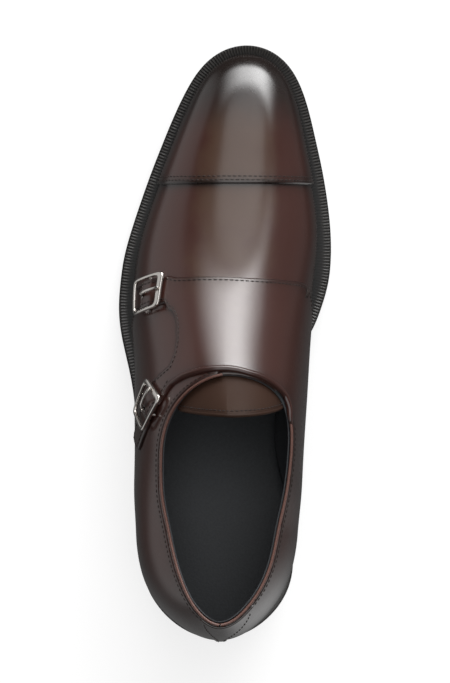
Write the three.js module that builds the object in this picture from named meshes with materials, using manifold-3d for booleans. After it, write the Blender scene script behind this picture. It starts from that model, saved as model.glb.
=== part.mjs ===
// A double monk strap shoe for the left foot, standing empty on its sole.
//
// Millimetres, +Z up, +Y towards the toe, +X towards the inner (medial) side of the foot.
// While the pieces are worked out, y runs from the back of the heel and z from the floor.
// At the end the whole shoe is moved so that the origin lies under the middle of its box.
//
// Every piece of leather is cut from one closed-form surface, the last, by a pattern drawn
// in the last's own girth and length, and is then given its thickness along the normals.

import * as THREE from "three";
import { mergeVertices } from "three/addons/utils/BufferGeometryUtils.js";
import Module from "manifold-3d";

const wasm = await Module();
wasm.setup();

// ---------------------------------------------------------------- driving dimensions

const SHOE_LENGTH = 305; // heel back to sole tip
const LAST_LENGTH = 299; // heel back to the tip of the lasted vamp
const GAP = 0.3; // air between neighbouring pieces

const WALL = 1.8; // vamp or quarter lining with its stiffeners
const OVERLAY = 1.4; // quarters and straps
const CAP_LEATHER = 1.2; // toe cap
const TONGUE_LEATHER = 1.6;

const SOLE_THICKNESS = 9.2; // welt and outsole together
const WELT_THICKNESS = 3;
const WELT_REACH = 9; // from the sole edge inwards, under the upper
const WELT_START = 97; // y of the welt's two ends, in the waist
const INSOLE_THICKNESS = 2.4;
const TREAD_THICKNESS = 2.2;
const TREAD_PROUD = 0.25; // rubber inlay below the leather around it
const LIFT_HEIGHT = 7; // top lift of the heel
const HEEL_TAPER = 1.6; // how far the heel draws in from its seat to the floor

const HEEL_RISE = 23; // underside of the outsole above the floor at the heel
const SEAT_FRONT = 58; // y where the heel seat levels out
const FLAT_BACK = 180; // the forefoot stands on the floor from here
const FLAT_FRONT = 220; // to here
const TOE_SPRING = 10.5;
const TOE_SPRING_POWER = 1.8;

const STRAP_WIDTH = 14.4;
const STRAP_RISE = 1.8; // over the buckle's centre bar
const BUCKLE_LENGTH = 21.6; // along the strap
const BUCKLE_WIDTH = 18.6; // across the strap
const BUCKLE_THICKNESS = 1.7;
const NEAR_BAR = 3; // the broad bevelled bar on the instep side
const FAR_BAR = 1.8;
const SIDE_BAR = 1.4;
const CENTRE_BAR = 1.5;
const PRONG_WIDTH = 1.8;
const PRONG_THICKNESS = 1.1;

const BREAST = 80; // y of the heel's front face in its middle
const BREAST_CURVE = 0.0055; // how it comes forward towards the sides
const LIFT_SPLIT = 45; // the top lift is rubber behind this line

// ---------------------------------------------------------------- tables

// The last at its stations. width and centre give its widest line in plan, ridge how far the
// crest lies to the medial side of that centre, and top the height of the crest (behind the
// throat a virtual one, which the topline cuts off). wall, outer and inner are the powers of
// the section: how upright the wall is, and how full the lateral and medial shoulders are.
// The tucks say how far the wall draws in at the feather edge, as a part of its half-width.
const LAST = {
  columns: ["y", "centre", "width", "ridge", "top", "wall", "outer", "inner", "outerTuck", "innerTuck"],
  rows: [
    [0, -2.8, 70, 0, 112, 2.5, 0.66, 1.0, 0.05, 0.07],
    [12, -4.1, 77, 1.2, 112, 2.5, 0.65, 1.02, 0.05, 0.07],
    [26, -4.5, 80.5, 2.4, 112, 2.5, 0.63, 1.04, 0.05, 0.08],
    [42, -4.3, 81, 3, 112, 2.5, 0.6, 1.06, 0.04, 0.09],
    [58, -4.0, 82.2, 3.2, 112, 2.5, 0.6, 1.12, 0.04, 0.1],
    [75, -3.6, 84.6, 3.4, 111.7, 2.5, 0.72, 1.45, 0.04, 0.16],
    [88, -3.2, 85, 3.6, 111, 2.5, 0.86, 1.85, 0.04, 0.26],
    [104, -2.7, 85.6, 3.8, 108.4, 2.5, 1.1, 2.3, 0.04, 0.33],
    [120, -2.1, 87, 3.2, 102.5, 2.4, 1.3, 2.2, 0.03, 0.32],
    [138, -1.4, 88.6, 2.0, 92.5, 2.2, 1.65, 2.05, 0.03, 0.22],
    [158, -1.5, 91.6, 1.8, 80.6, 2.1, 1.85, 2, 0.03, 0.09],
    [182, -0.7, 94.2, 2.2, 66.9, 2.05, 1.95, 2, 0.03, 0.04],
    [205, 2.2, 92.6, 1.8, 57.2, 2.05, 2, 2.05, 0.03, 0.03],
    [228, 4.9, 83, 1, 50, 2.1, 2.1, 2.1, 0.03, 0.03],
    [252, 7.2, 68.6, 0.4, 44.8, 2.15, 2.2, 2.2, 0.03, 0.03],
    [276, 9.6, 57, 0, 42, 2.2, 2.3, 2.3, 0.03, 0.03],
    [299, 11.3, 54, 0, 41, 2.2, 2.3, 2.3, 0.03, 0.03],
  ],
};
const LAST_HEEL = { length: 55, power: 2 }; // how the plan closes at the back
const LAST_TOE = { length: 49, power: 3 }; // and at the toe
const TOE_CREST_POWER = 2.3;
const TUCK_HEIGHT = 0.3; // part of the section's height that the tuck takes

// The sole's outline.
const SOLE = {
  columns: ["y", "centre", "width"],
  rows: [
    [0, -3.4, 67], [20, -3.4, 74], [45, -4.1, 78.4], [60, -4.8, 78.9], [75, -6, 77.2],
    [89, -8, 73], [107, -9.2, 72.1], [122, -9.8, 73.6], [134, -10, 77], [146, -7.2, 88],
    [158, -4.4, 98.6], [170, -2.4, 104.6], [183, -0.2, 107.4], [195, 1.3, 107], [210, 3.2, 102.8],
    [228, 5.2, 94.8], [245, 6.8, 85.5], [264, 8.5, 73.7], [282, 10.1, 65], [305, 11.3, 60.5],
  ],
};
const SOLE_HEEL = { length: 40, power: 2.3 };
const SOLE_TOE = { length: 50, power: 3 };

// The rubber inlay in the forefoot's underside.
const TREAD = {
  columns: ["y", "centre", "width"],
  rows: [
    [151, -8.5, 50], [160, -6.5, 54.5], [173, -2.5, 67], [189, 1.2, 72], [203, 3.2, 69],
    [218, 5.3, 63.4], [231, 7, 57], [247, 8.6, 46.7], [268, 10.6, 31], [285, 11.6, 24],
  ],
};
const TREAD_ENDS = { from: 151, to: 285 };
const TREAD_BACK = { length: 10, power: 2.2 };
const TREAD_FRONT = { length: 8, power: 2.2 };

// Height of the topline on either side.
const TOPLINE = {
  columns: ["y", "outer", "inner"],
  rows: [
    [0, 90, 90], [14, 88.5, 88.5], [30, 84.5, 85.5], [50, 79, 82], [70, 76.3, 80], [88, 76.4, 79.2],
    [104, 78.5, 79.2], [118, 82.5, 80], [128, 88, 85], [140, 97, 97], [165, 112, 112],
  ],
};

// ---------------------------------------------------------------- curves

/** The natural cubic spline through one column of a table, over its first column. */
function column(table, name) {
  const at = table.columns.indexOf(name);
  const x = table.rows.map((row) => row[0]);
  const f = table.rows.map((row) => row[at]);
  const last = x.length - 1;
  const bend = new Array(last + 1).fill(0);
  const carry = new Array(last + 1).fill(0);
  for (let i = 1; i < last; i++) {
    const share = (x[i] - x[i - 1]) / (x[i + 1] - x[i - 1]);
    const pivot = share * bend[i - 1] + 2;
    const turn = (f[i + 1] - f[i]) / (x[i + 1] - x[i]) - (f[i] - f[i - 1]) / (x[i] - x[i - 1]);
    bend[i] = (share - 1) / pivot;
    carry[i] = ((6 * turn) / (x[i + 1] - x[i - 1]) - share * carry[i - 1]) / pivot;
  }
  for (let i = last - 1; i >= 0; i--) bend[i] = bend[i] * bend[i + 1] + carry[i];
  return (at) => {
    const t = Math.min(Math.max(at, x[0]), x[last]);
    let i = 0;
    while (i < last - 1 && t > x[i + 1]) i++;
    const h = x[i + 1] - x[i];
    const a = (x[i + 1] - t) / h;
    const b = (t - x[i]) / h;
    return a * f[i] + b * f[i + 1] + ((a ** 3 - a) * bend[i] + (b ** 3 - b) * bend[i + 1]) * h * h / 6;
  };
}

function columns(table) {
  return Object.fromEntries(table.columns.slice(1).map((name) => [name, column(table, name)]));
}

const last = columns(LAST);
const sole = columns(SOLE);
const tread = columns(TREAD);
const topline = columns(TOPLINE);

/** A half-width's closing factor, 1 in the middle and 0 with a round end at from and to. */
function closing(y, from, to, back, front) {
  const behind = Math.min(Math.max((from + back.length - y) / back.length, 0), 1);
  const ahead = Math.min(Math.max((y - to + front.length) / front.length, 0), 1);
  return Math.sqrt((1 - behind ** back.power) * (1 - ahead ** front.power));
}

/** y at a part t of the way along, evenly spaced round the two round ends. */
function station(t, from, to, back, front) {
  const quarter = Math.PI / 2;
  const straight = to - from - back.length - front.length;
  const along = t * (quarter * (back.length + front.length) + straight);
  if (along < quarter * back.length) return from + back.length * (1 - Math.cos(along / back.length));
  const ahead = along - quarter * back.length;
  if (ahead < straight) return from + back.length + ahead;
  return to - front.length + front.length * Math.sin((ahead - straight) / front.length);
}

function smoothstep(from, to, value) {
  const t = Math.min(Math.max((value - from) / (to - from), 0), 1);
  return t * t * (3 - 2 * t);
}

/** Height of the outsole's underside above the floor. */
function rise(y) {
  const spring = Math.max(0, (y - FLAT_FRONT) / (SHOE_LENGTH - FLAT_FRONT));
  return HEEL_RISE * smoothstep(FLAT_BACK, SEAT_FRONT, y) + TOE_SPRING * spring ** TOE_SPRING_POWER;
}

/** Height of the feather edge, where upper and sole meet. */
const feather = (y) => rise(y) + SOLE_THICKNESS;

// ---------------------------------------------------------------- the last

const LEAN_LEVEL = 50; // height of the heel's furthest point back
const LEAN = 0.0102; // how the back line curves away from it
const LEAN_EASE = -0.00012;
const BACK_LEATHER = GAP + OVERLAY; // the quarters' leather behind the lining

/** A point of the last: turn is -1 at the lateral feather edge, 0 on the crest, 1 medial. */
function lastPoint(y, turn) {
  const close = closing(y, 0, LAST_LENGTH, LAST_HEEL, LAST_TOE);
  const ahead = Math.max(0, (y - LAST_LENGTH + LAST_TOE.length) / LAST_TOE.length);
  const height = (last.top(y) - feather(y)) * Math.sqrt(1 - Math.min(ahead, 1) ** TOE_CREST_POWER);
  const up = Math.cos((Math.abs(turn) * Math.PI) / 2);
  const outer = turn < 0;
  const power = outer ? last.outer(y) : last.inner(y);
  const tuck = outer ? last.outerTuck(y) : last.innerTuck(y);
  const half = close * (last.width(y) / 2 + (outer ? last.ridge(y) : -last.ridge(y)));
  const full = Math.max(0, 1 - up ** last.wall(y)) ** (1 / power);
  const drawn = 1 - tuck * Math.max(0, 1 - up / TUCK_HEIGHT) ** 2;
  const z = feather(y) + height * up;
  const level = z - LEAN_LEVEL;
  const lean = LEAN * level ** 2 + LEAN_EASE * level ** 3;
  const fade = Math.max(0, 1 - y / LAST_HEEL.length) ** 2;
  const crest = last.centre(y) + last.ridge(y) * close;
  const back = y + (lean + BACK_LEATHER) * fade;
  return new THREE.Vector3(crest + (outer ? -half : half) * full * drawn, back, z);
}

/** The normal of the last, pointing out of the foot. */
function lastNormal(y, turn) {
  const small = 1e-3;
  const sign = turn < 0 ? 1 : -1; // step towards the crest, away from the feather edge
  const here = lastPoint(y, turn);
  const round = lastPoint(y, turn + sign * small).sub(here).multiplyScalar(sign);
  const along = lastPoint(y + small, turn).sub(here);
  return round.cross(along).normalize();
}

const GIRTH_STEPS = 240;

/** Girth from the crest down to a turn, in mm and negative on the lateral side. */
function girthTable(y, side) {
  const table = [0];
  let previous = lastPoint(y, 0);
  for (let k = 1; k <= GIRTH_STEPS; k++) {
    const next = lastPoint(y, (side * k) / GIRTH_STEPS);
    table.push(table[k - 1] + next.distanceTo(previous));
    previous = next;
  }
  return table;
}

/** The place on the last at a girth and a length, lifted off it along the normal. */
function onLast(girth, y, lift) {
  const side = girth < 0 ? -1 : 1;
  const table = girthTable(y, side);
  let k = 1;
  while (k < GIRTH_STEPS && table[k] < Math.abs(girth)) k++;
  const part = (Math.abs(girth) - table[k - 1]) / (table[k] - table[k - 1]);
  const turn = (side * (k - 1 + part)) / GIRTH_STEPS;
  return lastPoint(y, turn).addScaledVector(lastNormal(y, turn), lift);
}

// ---------------------------------------------------------------- solids

/** A closed solid from faces given as corners, with shared corners merged. */
function solid(faces) {
  const positions = [];
  for (const face of faces) {
    for (let k = 2; k < face.length; k++) {
      for (const corner of [face[0], face[k - 1], face[k]]) positions.push(corner.x, corner.y, corner.z);
    }
  }
  const loose = new THREE.BufferGeometry();
  loose.setAttribute("position", new THREE.Float32BufferAttribute(positions, 3));
  const merged = mergeVertices(loose, 1e-3);
  const index = merged.index.array;
  const kept = [];
  for (let k = 0; k < index.length; k += 3) {
    const [a, b, c] = index.slice(k, k + 3);
    if (a !== b && b !== c && a !== c) kept.push(a, b, c);
  }
  merged.setIndex(kept);
  return merged;
}

function toManifold(geometry) {
  const bare = geometry.clone();
  for (const name of Object.keys(bare.attributes)) {
    if (name !== "position") bare.deleteAttribute(name);
  }
  const shared = mergeVertices(bare, 1e-4);
  return new wasm.Manifold(new wasm.Mesh({
    numProp: 3,
    vertProperties: new Float32Array(shared.attributes.position.array),
    triVerts: new Uint32Array(shared.index.array),
  }));
}

function fromManifold(manifold) {
  const mesh = manifold.getMesh();
  const geometry = new THREE.BufferGeometry();
  geometry.setAttribute("position", new THREE.Float32BufferAttribute(mesh.vertProperties, 3));
  geometry.setIndex([...mesh.triVerts]);
  return geometry;
}

// ---------------------------------------------------------------- panels cut from the last

const STATIONS = 40;
const TURNS = 10; // steps of the section on each side

/** The last's grid of stations and turns, each turn split into finer ones if asked. */
function lastGrid(finer) {
  const rows = [];
  const turns = TURNS * finer;
  for (let i = 0; i <= STATIONS; i++) {
    const y = station(i / STATIONS, 0, LAST_LENGTH, LAST_HEEL, LAST_TOE);
    const tables = { "-1": girthTable(y, -1), "1": girthTable(y, 1) };
    const row = [];
    for (let j = -turns; j <= turns; j++) {
      const turn = j / turns;
      const side = j < 0 ? -1 : 1;
      const girth = side * tables[side][Math.round(Math.abs(turn) * GIRTH_STEPS)];
      const foot = Math.abs(j) === turns || i === STATIONS; // on the feather edge
      row.push({ at: lastPoint(y, turn), normal: new THREE.Vector3(), girth, y, foot });
    }
    rows.push(row);
  }
  const name = ({ at }) => [at.x, at.y, at.z].map((v) => v.toFixed(4)).join();
  const sums = new Map();
  const corner = (i, j) => rows[i][j];
  for (let i = 0; i < STATIONS; i++) {
    for (let j = 0; j < 2 * turns; j++) {
      const ring = [corner(i, j), corner(i, j + 1), corner(i + 1, j + 1), corner(i + 1, j)];
      const normal = ring[2].at.clone().sub(ring[0].at).cross(ring[3].at.clone().sub(ring[1].at));
      for (const vertex of ring) {
        const key = name(vertex);
        if (!sums.has(key)) sums.set(key, new THREE.Vector3());
        sums.get(key).add(normal);
      }
    }
  }
  for (const row of rows) {
    for (const vertex of row) {
      vertex.normal.copy(sums.get(name(vertex)));
      if (vertex.foot) vertex.normal.z = 0;
      vertex.normal.normalize();
    }
  }
  return rows;
}

const SNAP = 0.2; // a cut this close to a corner goes through it

/** The part of a polygon where keep is positive, with new corners on the cut. */
function clip(ring) {
  const kept = [];
  ring.forEach((a, k) => {
    const b = ring[(k + 1) % ring.length];
    if (a.keep >= 0) kept.push(a);
    if (a.keep * b.keep < 0) {
      const t = a.keep / (a.keep - b.keep);
      kept.push({
        at: a.at.clone().lerp(b.at, t),
        normal: a.normal.clone().lerp(b.normal, t),
        lift: a.lift + (b.lift - a.lift) * t,
        foot: a.foot && b.foot,
      });
    }
  });
  return kept;
}

/** A leather panel: where keep > 0 on the last, from lift to lift + thickness above it. */
function panel({ keep, lift, thickness, finer = 1 }) {
  const rows = lastGrid(finer);
  for (const row of rows) {
    for (const vertex of row) {
      const value = keep(vertex);
      vertex.keep = Math.abs(value) < SNAP ? SNAP * Math.sign(value || 1) : value;
      vertex.lift = lift(vertex);
    }
  }
  const raise = (vertex, extra) => {
    const point = vertex.at.clone().addScaledVector(vertex.normal, vertex.lift + extra);
    if (vertex.foot) point.z = feather(point.y);
    return point;
  };
  const name = ({ x, y, z }) => [x, y, z].map((v) => v.toFixed(3)).join();
  const faces = [];
  const edges = new Map();
  for (let i = 0; i < STATIONS; i++) {
    for (let j = 0; j + 1 < rows[i].length; j++) {
      const quad = [rows[i][j], rows[i][j + 1], rows[i + 1][j + 1], rows[i + 1][j]];
      for (const triangle of [[quad[0], quad[1], quad[2]], [quad[0], quad[2], quad[3]]]) {
        const ring = clip(triangle);
        for (let k = 2; k < ring.length; k++) {
          const corners = [ring[0], ring[k - 1], ring[k]];
          if (new Set(corners.map((c) => name(c.at))).size < 3) continue;
          faces.push(corners.map((c) => raise(c, thickness)));
          faces.push(corners.map((c) => raise(c, 0)).reverse());
          corners.forEach((a, n) => {
            const b = corners[(n + 1) % 3];
            const back = `${name(b.at)}/${name(a.at)}`;
            if (edges.has(back)) edges.delete(back);
            else edges.set(`${name(a.at)}/${name(b.at)}`, [a, b]);
          });
        }
      }
    }
  }
  for (const [a, b] of edges.values()) {
    faces.push([raise(b, thickness), raise(a, thickness), raise(a, 0), raise(b, 0)]);
  }
  return solid(faces);
}

/** Distance into a closed outline of [girth, y] points, negative outside it. */
function inside(outline) {
  return ({ girth, y }) => {
    let nearest = Infinity;
    let within = false;
    outline.forEach(([ax, ay], k) => {
      const [bx, by] = outline[(k + 1) % outline.length];
      const length = (bx - ax) ** 2 + (by - ay) ** 2;
      const t = Math.min(Math.max(((girth - ax) * (bx - ax) + (y - ay) * (by - ay)) / length, 0), 1);
      nearest = Math.min(nearest, Math.hypot(girth - ax - t * (bx - ax), y - ay - t * (by - ay)));
      if (ay > y !== by > y && girth < ax + ((y - ay) / (by - ay)) * (bx - ax)) within = !within;
    });
    return within ? nearest : -nearest;
  };
}

/** How far a vertex lies below the topline. */
function belowTopline({ at }) {
  const inner = smoothstep(-20, 20, at.x);
  return topline.outer(at.y) * (1 - inner) + topline.inner(at.y) * inner - at.z;
}

// ---------------------------------------------------------------- the pattern pieces

/**
 * True lengths along a strap and across it, at its place on the last: middle is the buckle's
 * [girth, y], aim the strap's direction in the pattern, and reach its length past the buckle.
 */
function chart(middle, aim, reach) {
  const small = 0.5;
  const [girth, y] = middle;
  const step = (u, v) => onLast(girth + u, y + v, 0).sub(onLast(girth - u, y - v, 0)).divideScalar(2 * small);
  const [alongGirth, alongY] = [step(small, 0), step(0, small)];
  const real = (u, v) => alongGirth.clone().multiplyScalar(u).addScaledVector(alongY, v);
  const run = real(...aim);
  const along = aim.map((v) => v / run.length());
  run.normalize();
  const square = [alongY.dot(run), -alongGirth.dot(run)];
  const across = square.map((v) => v / real(...square).length());
  const toPattern = (s, b) => [girth + s * along[0] + b * across[0], y + s * along[1] + b * across[1]];
  const det = along[0] * across[1] - along[1] * across[0];
  return {
    reach,
    toPattern,
    point: (s, b, lift) => onLast(...toPattern(s, b), lift),
    fromPattern: (g, v) => [
      ((g - girth) * across[1] - (v - y) * across[0]) / det,
      ((v - y) * along[0] - (g - girth) * along[1]) / det,
    ],
  };
}

const straps = {
  front: chart([-45, 176], [-0.98, -0.18], 19),
  rear: chart([-52.5, 120], [-0.73, -0.68], 25),
};

/** A strap's edge and tip, from the front edge round to the rear one. */
function strapEnd({ toPattern, reach }, root) {
  const half = STRAP_WIDTH / 2;
  const shoulder = reach - 4;
  return [
    toPattern(root, half), toPattern(shoulder, half), toPattern(reach - 1, half - 3.5),
    toPattern(reach, 0),
    toPattern(reach - 1, 3.5 - half), toPattern(shoulder, -half), toPattern(root, -half),
  ];
}

// The medial quarter runs from the back seam along the inner side, over the instep as a flap,
// and ends in the two straps. Corners are [girth, y], round from the inner feather edge.
const MEDIAL_QUARTER = [
  [130, 157], [84, 161], [72, 168], [59, 179], [45, 182.6], [30, 183.6], [15, 184.3], [1, 184.6],
  [-14, 184.4], [-26, 184.2], ...strapEnd(straps.front, -12),
  [-31, 168.4], [-27, 165.5], [-26, 160], [-28, 146], [-32, 140],
  ...strapEnd(straps.rear, -10),
  [-32, 131], [-22, 135], [-9, 137.8], [0, 138.4], [6, 137.8], [18, 134.8], [27, 131], [37, 125.5],
  [42, 119], [43, 108], [20, 90], [0, 60], [0, -20], [130, -20],
];

// The lateral quarter carries both buckles and tucks under the flap.
const LATERAL_QUARTER = [
  [-130, 156], [-90, 159.5], [-76, 163], [-67, 168], [-58, 175], [-49, 180], [-40, 181],
  [-32, 178], [-26, 170], [-22, 158], [-18, 145], [-14, 134], [-14, 120], [0, 60], [0, -20], [-130, -20],
];

const FLAP_LIFT = GAP; // the medial quarter over the vamp
const STRAP_LIFT = GAP + OVERLAY + GAP; // and over the lateral quarter
const FRAME_LIFT = STRAP_LIFT + OVERLAY + 0.7; // the buckle's frame over the strap
const FRAME_TOP = FRAME_LIFT + BUCKLE_THICKNESS;

/** How far the straps rise over the centre bars. */
function strapRise({ girth, y }) {
  return Math.max(...Object.values(straps).map((strap) => {
    const [s, b] = strap.fromPattern(girth, y);
    const onStrap = smoothstep(STRAP_WIDTH, STRAP_WIDTH / 2, Math.abs(b));
    return STRAP_RISE * onStrap * smoothstep(7.2, 2.6, Math.abs(s));
  }));
}

const both = (...fields) => (vertex) => Math.min(...fields.map((field) => field(vertex)));

const BACK_SEAM = LAST.rows[0][1]; // x of the seam that joins the quarters at the back
const THROAT = 171; // front end of the tongue, under the vamp
const TONGUE_TOP = 118;
const TONGUE_HALF = 31;
const CAP_LINE = 233; // the toe cap's straight seam

function upper() {
  return panel({ keep: belowTopline, lift: () => -WALL, thickness: WALL });
}

function medialQuarter() {
  const lift = (vertex) => FLAP_LIFT + (STRAP_LIFT - FLAP_LIFT) * smoothstep(-3, -13, vertex.girth)
    + strapRise(vertex);
  const seam = ({ at, y }) => Math.max(at.x - BACK_SEAM - GAP / 2, y - LAST_HEEL.length);
  const keep = both(inside(MEDIAL_QUARTER), belowToplineOrFlap, seam);
  const leather = panel({ keep, lift, thickness: OVERLAY, finer: 2 });
  const frames = Object.values(straps).map((strap) => toManifold(buckle(strap, GAP)));
  return fromManifold(frames.reduce((whole, frame) => whole.subtract(frame), toManifold(leather)));
}

/** The flap crosses the throat above the topline; behind it the quarter ends at the topline. */
function belowToplineOrFlap(vertex) {
  return Math.max(belowTopline(vertex), vertex.y - 112);
}

function lateralQuarter() {
  const keep = both(inside(LATERAL_QUARTER), belowTopline, ({ at }) => BACK_SEAM - GAP / 2 - at.x);
  return panel({ keep, lift: () => GAP, thickness: OVERLAY });
}

function tongue() {
  const keep = ({ girth, y }) => Math.min(TONGUE_HALF - Math.abs(girth), y - TONGUE_TOP, THROAT - y);
  return panel({ keep, lift: () => -WALL - GAP - TONGUE_LEATHER, thickness: TONGUE_LEATHER });
}

function toeCap() {
  return panel({ keep: ({ y }) => y - CAP_LINE, lift: () => GAP, thickness: CAP_LEATHER });
}

// ---------------------------------------------------------------- plates of the bottom

/** A plate over a grid of plan points, between a lower and an upper surface. */
function plate(plan, rows, across, low, high) {
  const at = (i, j) => plan(i / rows, (2 * j) / across - 1);
  const faces = [];
  for (let i = 0; i < rows; i++) {
    for (let j = 0; j < across; j++) {
      const ring = [at(i, j), at(i, j + 1), at(i + 1, j + 1), at(i + 1, j)];
      faces.push(ring.map(high), ring.map(low).reverse());
    }
    const [left, right] = [[at(i, 0), at(i + 1, 0)], [at(i + 1, across), at(i, across)]];
    for (const [a, b] of [left, right]) faces.push([high(a), high(b), low(b), low(a)]);
  }
  for (let j = 0; j < across; j++) {
    const [back, front] = [[at(0, j + 1), at(0, j)], [at(rows, j), at(rows, j + 1)]];
    for (const [a, b] of [back, front]) faces.push([high(a), high(b), low(b), low(a)]);
  }
  return solid(faces);
}

/** A plan outline moved inwards by a distance. edge(t, side) gives the outline's points. */
function rim(edge, t, side, distance) {
  const small = 1e-4;
  const here = edge(t, side);
  const before = edge(Math.max(t - small, 0), side);
  const after = edge(Math.min(t + small, 1), side);
  const [dx, dy] = [after[0] - before[0], after[1] - before[1]];
  const length = Math.hypot(dx, dy) * -side;
  return [here[0] + (distance * dy) / length, here[1] - (distance * dx) / length];
}

/** A plan between the two sides of an outline that is moved inwards by a distance. */
function between(edge, distance) {
  return (t, s) => {
    const [a, b] = [rim(edge, t, -1, distance), rim(edge, t, 1, distance)];
    const part = (s + 1) / 2;
    return [a[0] + (b[0] - a[0]) * part, a[1] + (b[1] - a[1]) * part];
  };
}

const level = (height) => ([x, y]) => new THREE.Vector3(x, y, height(y));

function outline(table, length, back, front, from = 0) {
  return (t, side) => {
    const y = station(t, from, length, back, front);
    return [table.centre(y) + (side * table.width(y) * closing(y, from, length, back, front)) / 2, y];
  };
}

const soleEdge = outline(sole, SHOE_LENGTH, SOLE_HEEL, SOLE_TOE);
const treadEdge = outline(tread, TREAD_ENDS.to, TREAD_BACK, TREAD_FRONT, TREAD_ENDS.from);

/** The feather edge of the upper in plan. */
function featherEdge(t, side) {
  const y = station(t, 0, LAST_LENGTH, LAST_HEEL, LAST_TOE);
  const point = lastPoint(y, side);
  return [point.x, point.y];
}

const SOLE_ROWS = 40;
const TREAD_ROWS = 20;

/** The strip round the forefoot between two insets of the sole's edge. */
function strip(start, outer, inner, low, high) {
  const first = weltStation(start);
  const steps = 30;
  const ends = [-1, 1].flatMap((side) => {
    const places = Array.from({ length: steps + 1 }, (_, k) => [first + ((1 - first) * k) / steps, side]);
    return side < 0 ? places : places.reverse().slice(1);
  });
  const sections = ends.map(([t, side]) => {
    const [a, b] = [rim(soleEdge, t, side, outer), rim(soleEdge, t, side, inner)];
    return [low(a), low(b), high(b), high(a)];
  });
  const faces = [sections[0].slice().reverse(), sections.at(-1)];
  for (let k = 0; k + 1 < sections.length; k++) {
    for (let n = 0; n < 4; n++) {
      const m = (n + 1) % 4;
      faces.push([sections[k][n], sections[k][m], sections[k + 1][m], sections[k + 1][n]]);
    }
  }
  return solid(faces.map((face) => face.reverse()));
}

/** The part of the sole's outline at which y has a given value, in its straight stretch. */
function weltStation(y) {
  let [low, high] = [0, 1];
  while (high - low > 1e-6) {
    const middle = (low + high) / 2;
    if (soleEdge(middle, 1)[1] < y) low = middle;
    else high = middle;
  }
  return low;
}

const weltTop = (y) => feather(y) - GAP;

function welt() {
  return strip(WELT_START, 0, WELT_REACH, level((y) => weltTop(y) - WELT_THICKNESS), level(weltTop));
}

function treadInlay() {
  return plate(between(treadEdge, 0), TREAD_ROWS, 2, level(rise), level((y) => rise(y) + TREAD_THICKNESS));
}

function outsole() {
  const body = plate(between(soleEdge, 0), SOLE_ROWS, 2, level((y) => rise(y) + TREAD_PROUD), level(weltTop));
  const rabbet = strip(WELT_START - GAP, -1, WELT_REACH + GAP,
    level((y) => weltTop(y) - WELT_THICKNESS - GAP), level((y) => weltTop(y) + 1));
  const pocket = plate(between(treadEdge, -GAP), TREAD_ROWS, 2,
    level((y) => rise(y) - 1), level((y) => rise(y) + TREAD_THICKNESS + GAP));
  return fromManifold(toManifold(body).subtract(toManifold(rabbet)).subtract(toManifold(pocket)));
}

function insole() {
  const plan = between(featherEdge, WALL + 2 * GAP);
  return plate(plan, SOLE_ROWS, 2, level(feather), level((y) => feather(y) + INSOLE_THICKNESS));
}

// ---------------------------------------------------------------- heel

const HEEL_ROWS = 12;

/** The heel in plan between two lines across it; the last one is the curved breast. */
function heelPlan(from, to) {
  return (t, s) => {
    const turn = (v) => (v < SOLE_HEEL.length ? Math.acos(1 - v / SOLE_HEEL.length) * SOLE_HEEL.length
      : SOLE_HEEL.length * (Math.PI / 2 - 1) + v);
    const along = turn(from) + (turn(to) - turn(from)) * t;
    const corner = (SOLE_HEEL.length * Math.PI) / 2;
    const y = along < corner ? SOLE_HEEL.length * (1 - Math.cos(along / SOLE_HEEL.length))
      : along - SOLE_HEEL.length * (Math.PI / 2 - 1);
    const half = (sole.width(y) * closing(y, 0, SHOE_LENGTH, SOLE_HEEL, SOLE_TOE)) / 2;
    const x = sole.centre(y) + half * s;
    const curve = BREAST_CURVE * (x - sole.centre(BREAST)) ** 2;
    return [x, y + curve * smoothstep(LIFT_SPLIT, BREAST, y)];
  };
}

/** A level or upper surface of the heel, drawn in towards the floor. */
function heelLevel(height) {
  return ([x, y]) => {
    const z = height(y);
    const drawn = HEEL_TAPER * (1 - z / HEEL_RISE);
    const middle = sole.centre(y);
    const half = sole.width(y) / 2;
    return new THREE.Vector3(middle + (x - middle) * (1 - drawn / half), y + drawn * (1 - y / BREAST), z);
  };
}

function heelStack() {
  const top = heelLevel((y) => rise(y) + TREAD_PROUD - GAP);
  return plate(heelPlan(0, BREAST), HEEL_ROWS, 6, heelLevel(() => LIFT_HEIGHT + GAP), top);
}

function topLift(from, to) {
  return plate(heelPlan(from, to), HEEL_ROWS, 6, heelLevel(() => 0), heelLevel(() => LIFT_HEIGHT));
}

// ---------------------------------------------------------------- buckles

/** A block bent with the last, between two corners given as along, across and lift. */
function bar(strap, from, to, steps = 4) {
  const faces = [];
  const corner = (t, i, j) => strap.point(
    i ? to[0] : from[0],
    from[1] + (to[1] - from[1]) * t,
    j ? to[2] : from[2],
  );
  const loop = [[0, 0], [1, 0], [1, 1], [0, 1]];
  const section = (t) => loop.map(([i, j]) => corner(t, i, j));
  for (let k = 0; k < steps; k++) {
    const [a, b] = [section(k / steps), section((k + 1) / steps)];
    loop.forEach((_, n) => faces.push([a[n], a[(n + 1) % 4], b[(n + 1) % 4], b[n]]));
  }
  faces.push(section(0).reverse(), section(1));
  return outward(solid(faces));
}

/** The same solid with its faces pointing out, whichever way they were wound. */
function outward(geometry) {
  const p = geometry.attributes.position;
  const index = [...geometry.index.array];
  const [a, b, c] = [new THREE.Vector3(), new THREE.Vector3(), new THREE.Vector3()];
  let volume = 0;
  for (let k = 0; k < index.length; k += 3) {
    a.fromBufferAttribute(p, index[k]);
    b.fromBufferAttribute(p, index[k + 1]);
    c.fromBufferAttribute(p, index[k + 2]);
    volume += a.dot(b.clone().cross(c));
  }
  if (volume < 0) index.reverse();
  geometry.setIndex(index);
  return geometry;
}

const FRAME_SIDES = 20;
const FRAME_CORNER = 8; // power of the rounded rectangle

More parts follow.
